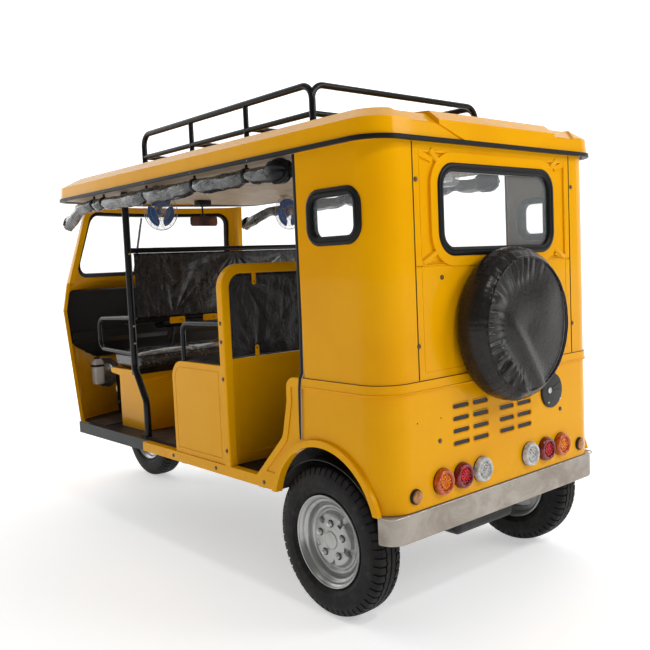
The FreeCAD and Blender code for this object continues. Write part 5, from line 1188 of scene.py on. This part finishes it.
def fans():
    """Cabin fans on stalks from the lining, behind fine wire guards."""
    motor, wire = Form(), Form()
    for word, side in SIDES:
        hub, top = at(side * 405, -1400, 1574), at(side * 405, -1442, LINING_LEVEL)
        motor.lathe(FAN_MOTOR, hub, Y_AXIS, 40)
        motor.tube([hub + Vector((0, -0.042, 0.020)), top - Z_AXIS * 0.03, top], 0.0075, 10)
        motor.lathe(FAN_FOOT, top, Z_AXIS, 28)
        guard(wire, hub)
        body, blades = f"fan_{word}", (f"fan_blades_{word}",)
        rotor(hub).done(f"fan_rotor_{word}", BLUE, "fan_blue", blades, body, solid=0.0016, angle=50)
        turned(f"fan_boss_{word}", BLUE, "fan_blue", [(hub, Y_AXIS)], (FAN_BOSS, 32), body=body, angle=40)
    motor.done("fan_motors", CREAM, "white_plastic", ("cabin_fans",))
    wire.done("fan_guards", PALE_WIRE, "white_plastic", angle=60)


MIRROR_LEVELS = ((-0.008, 14), (-0.006, 5), (0.0, 1.0), (0.006, 0), (0.009, 0.6), (0.0092, 3.2))
MIRROR_KNUCKLE = ((-0.008, 0.0), (-0.008, 0.009), (0.0, 0.011), (0.008, 0.009), (0.008, 0.0))


def mirror():
    """Rear-view mirror in a rounded shell on a stalk and a clamped base."""
    low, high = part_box("interior_mirror")
    y = (low.y + high.y) / 2 - 0.002
    form, face = Form(), Form()
    rows = []
    for depth, inset in MIRROR_LEVELS:
        ring = window_line(-190 + inset, -10 - inset, 1525 + inset, 1582 - inset, max(16 - inset, 4), 6)
        rows.append([Vector((x * MM, y + depth, z * MM)) for x, z in ring])
    form.rows(rows, around=True)
    form.faces.append(list(range(len(rows[0]))))
    form.tube([at(-99, -1806, 1580), at(-99, -1811, 1636)], 0.0052, 10)
    form.lathe(MIRROR_KNUCKLE, at(-99, -1807, 1588), Z_AXIS, 20)
    form.block(-140, -60, -1832, -1776, 1636, LINING_LEVEL)
    form.done("mirror_shell", BLACK_PLASTIC, "mirror_glass", ("interior_mirror",), bevel=0.0015, angle=40)
    inside = window_line(-186.8, -13.2, 1528.2, 1578.8, 13, 6)
    face.points = [Vector((x * MM, y + 0.0088, z * MM)) for x, z in inside]
    face.faces = [list(range(len(inside)))]
    face.done("mirror_face", MIRROR, "mirror_glass")


def cabin_lamp():
    """Square clear lamp hanging on a short stem under the lining."""
    stem, cover, inner = Form(), Form(), Form()
    stem.block(-20, 20, 68, 102, 1634, LINING_LEVEL)
    stem.lathe(((-0.004, 0.0), (-0.004, 0.034), (0.0, 0.036)), at(0, 85, LINING_LEVEL), Z_AXIS, 32)
    cover.jar((-60, 60, 42, 128), 14, 3, ((1560, 14), (1566, 5), (1572, 1), (1630, 0), (1638, 4), (1642, 16)))
    inner.block(-34, 34, 62, 108, 1578, 1634)
    for z in (1586, 1596, 1606):
        inner.block(-36, 36, 108, 110, z, z + 3)
    stem.done("cabin_lamp_stem", STEM_PLASTIC, "white_plastic", bevel=0.002, angle=40)
    cover.done("cabin_lamp_cover", LAMP_GLASS, "clear_lens", angle=40)
    inner.done("cabin_lamp_body", CLEAR, "clear_lens", bevel=0.0015)


def wall_lining():
    """Brown backing board on the inside of the upper rear body."""
    form = Form()
    outer, inner = window_line(-52, 300, 875, 1668, 4), window_line(2, 264, 1346, 1528, 52)
    for _, side in SIDES:
        form.rows([[at(side * 604.5, y, z) for y, z in line] for line in (outer, inner)], around=True)
    outer, inner = window_line(-560, 560, 875, 1668, 4), window_line(-338, 338, 1292, 1603, 72)
    form.rows([[at(x, 325.5, z) for x, z in line] for line in (outer, inner)], around=True)
    form.done("wall_lining", WALL_LINING, "beige_lining", solid=0.002)


BOTTLE_LEVELS = ((642, 8), (646, 2), (660, 0), (770, 0), (784, 6), (792, 18))
TANK_LEVELS = ((481, 8), (485, 2), (500, 0), (560, 0), (566, 3), (572, 0), (618, 0), (632, 8), (638, 24))
BOTTLE_CAP = ((0, 0.0), (0, 0.017), (0.01, 0.0165), (0.012, 0.012), (0.012, 0))
TANK_CAP = ((0, 0.0), (0, 0.022), (0.004, 0.024), (0.014, 0.0235), (0.017, 0.016), (0.017, 0))


def tanks():
    """Washer bottle and the cream reservoir beside the pedestal, with their caps and straps."""
    cap, band = Form(), Form()
    cap.lathe(BOTTLE_CAP, at(430, -2185, 788), Z_AXIS, 28)
    cap.lathe(TANK_CAP, at(195, -1480, 634), Z_AXIS, 32)
    for line, z, half in ((window_line(149, 301, -1530.5, -1429.5, 21, 5), 566, 0.011),
                          (window_line(399.5, 460.5, -2215.5, -2154.5, 13, 5), 750, 0.006)):
        section = [(-0.001, -half), (0.001, -half), (0.001, half), (-0.001, half)]
        band.sweep(section, [at(x, y, z) for x, y in line], Z_AXIS)
    bottle = Form().jar((401, 459, -2214, -2156), 12, 4, BOTTLE_LEVELS)
    bottle.done("washer_bottle", WHITE, "white_plastic", ("bottles",), angle=50)
    tank = Form().jar((151, 299, -1529, -1431), 20, 5, TANK_LEVELS)
    tank.done("reservoir", CREAM, "white_plastic", angle=50)
    cap.done("bottle_caps", BLACK_PLASTIC, "black_plastic", angle=40)
    band.done("bottle_straps", BLACK_PLASTIC, "black_plastic", angle=40)


# ------------------------------------------------------------------ stage, camera

VIEW_TURN, VIEW_DIP, VIEW_TILT = math.radians(229.25), math.radians(-4.42), math.radians(-2.5)
NEAR_GLOW, FAR_GLOW = (0.46, 0.46, 0.46), (0.85, 0.85, 0.85)
FLOOR_BEND, FLOOR_END = 6.0, 14.0
AIM = Vector((0, 0.1, 0.9))
# name, place, width, height, power
LIGHTS = (
    ("key", (-2.6, 5.4, 3.6), 2.2, 1.6, 95), ("spark", (0.9, 4.6, 4.6), 0.4, 0.4, 48),
    ("side", (6.0, -1.0, 2.2), 1.6, 3.4, 3), ("strip", (3.6, -0.6, 5.2), 0.35, 5.0, 16),
    ("over", (0.0, -0.6, 6.0), 3.0, 5.0, 22), ("front", (1.5, -6.0, 3.0), 3.0, 3.0, 34),
)


def backdrop():
    """Pale floor that curves up into a backdrop."""
    ahead = Vector((math.cos(VIEW_TURN), math.sin(VIEW_TURN), 0))
    side = Vector((-ahead.y, ahead.x, 0))
    flat = FLOOR_END - FLOOR_BEND
    line = [(-40.0, 0.0), (0.0, 0.0), (flat, 0.0)]
    for turn in (math.pi * k / 32 for k in range(1, 17)):
        line.append((flat + FLOOR_BEND * math.sin(turn), FLOOR_BEND - FLOOR_BEND * math.cos(turn)))
    line.append((FLOOR_END, 40.0))
    floor = Form().rows([[ahead * along + side * across + Z_AXIS * high for across in (-60, -20, 20, 60)]
                         for along, high in line]).raw("floor")
    pale = Finish("pale_floor", Base_Color=(0.88, 0.88, 0.88), Roughness=0.8, Specular_IOR_Level=0.1,
                  Emission_Strength=1.0)
    reach = pale.node("ShaderNodeVectorMath", {"operation": "LENGTH"}, {0: pale.place()}, output="Value")
    pale.feed(Emission_Color=pale.mix(reach.step(2.2, 8.0), NEAR_GLOW, FAR_GLOW))
    floor.data.materials.append(pale.material)
    floor.data.shade_smooth()


def stage():
    """The backdrop and soft lights in a dim room."""
    backdrop()
    world = bpy.data.worlds.new("studio")
    world.use_nodes = True
    world.node_tree.nodes["Background"].inputs["Color"].default_value = (1.0, 1.0, 1.0, 1.0)
    world.node_tree.nodes["Background"].inputs["Strength"].default_value = 0.16
    bpy.context.scene.world = world
    bpy.context.scene.view_settings.view_transform = "Standard"
    for name, place, wide, tall, power in LIGHTS:
        light = bpy.data.lights.new(name, "AREA")
        light.shape, light.size, light.size_y, light.energy = "RECTANGLE", wide, tall, power
        lamp = bpy.data.objects.new(name, light)
        lamp.location = place
        lamp.rotation_euler = (AIM - Vector(place)).to_track_quat("-Z", "Y").to_euler()
        bpy.context.scene.collection.objects.link(lamp)


def camera():
    """Three-quarter view from behind the left side, at about eye height."""
    ahead = Vector((math.cos(VIEW_DIP) * math.cos(VIEW_TURN), math.cos(VIEW_DIP) * math.sin(VIEW_TURN),
                    math.sin(VIEW_DIP)))
    level = ahead.cross(Z_AXIS).normalized()
    over = level.cross(ahead)
    right = level * math.cos(VIEW_TILT) + over * math.sin(VIEW_TILT)
    over = over * math.cos(VIEW_TILT) - level * math.sin(VIEW_TILT)
    lens_data = bpy.data.cameras.new("camera")
    lens_data.lens, lens_data.sensor_width, lens_data.clip_end = 44.36, 36.0, 200
    made = bpy.data.objects.new("camera", lens_data)
    made.matrix_world = Matrix((right, over, -ahead)).transposed().to_4x4()
    made.location = at(2431, 2165, 1282)
    bpy.context.scene.collection.objects.link(made)
    bpy.context.scene.camera = made


# ------------------------------------------------------------------ carried-over nodes

NODE_FINISH = {
    "front_fork": RUNNING, "handlebar": BLACK, "front_mudguard": YELLOW, "chassis_frame": CHASSIS_PAINT,
    "floor_pan": CHASSIS_PAINT, "floor_mat": MAT, "sills": YELLOW, "front_skirts": SKIRT,
    "front_cowl": YELLOW, "windscreen_frame": YELLOW, "dash_panel": DASH, "side_panels": YELLOW,
    "driver_posts": BLACK, "partition_frame": YELLOW, "partition_panel": YELLOW, "driver_seat_pan": YELLOW,
    "passenger_seat_base": YELLOW, "rear_tub": YELLOW, "engine_bay": CHASSIS_PAINT,
    "quarter_panels": YELLOW, "rear_panel": YELLOW, "window_glass": GLASS, "roof_panel": YELLOW,
    # the engine block's near-black finish is painted shade
    "headliner": LINING, "roof_rack": BLACK, "rear_bumper": BUMPER_ZINC, "engine_block": SHADED_CAST,
    "rear_suspension": RUNNING, "wiper": BLACK, "controls": BLACK, "arm_loops": BLACK,
}
# nodes whose edges are rounded, and by how much
NODE_EDGES = {
    "roof_panel": 0.009, "rear_bumper": 0.002, "front_cowl": 0.003, "sills": 0.003, "side_panels": 0.002,
    "driver_seat_pan": 0.003, "dash_panel": 0.006, "passenger_seat_base": 0.003,
}


def carried_over():
    """Gives every frame node that stays its finish."""
    for node, finish in NODE_FINISH.items():
        wear(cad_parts[node], finish)
    for node, width in NODE_EDGES.items():
        round_edges(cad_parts[node], width, 3, 28).harden_normals = True


carried_over()
wheels()
spare_cover()
tail_lamps()
front_lamps()
seals()
cushions()
cabin_sheets()
curtain(*SIDES[0])
curtain(*SIDES[1])
gutter()
body_bolts()
edge_strips()
bumper_edge()
filler()
slot_rims()
belt_lines()
window_ribs()
brackets()
fans()
mirror()
cabin_lamp()
wall_lining()
tanks()
stage()
camera()
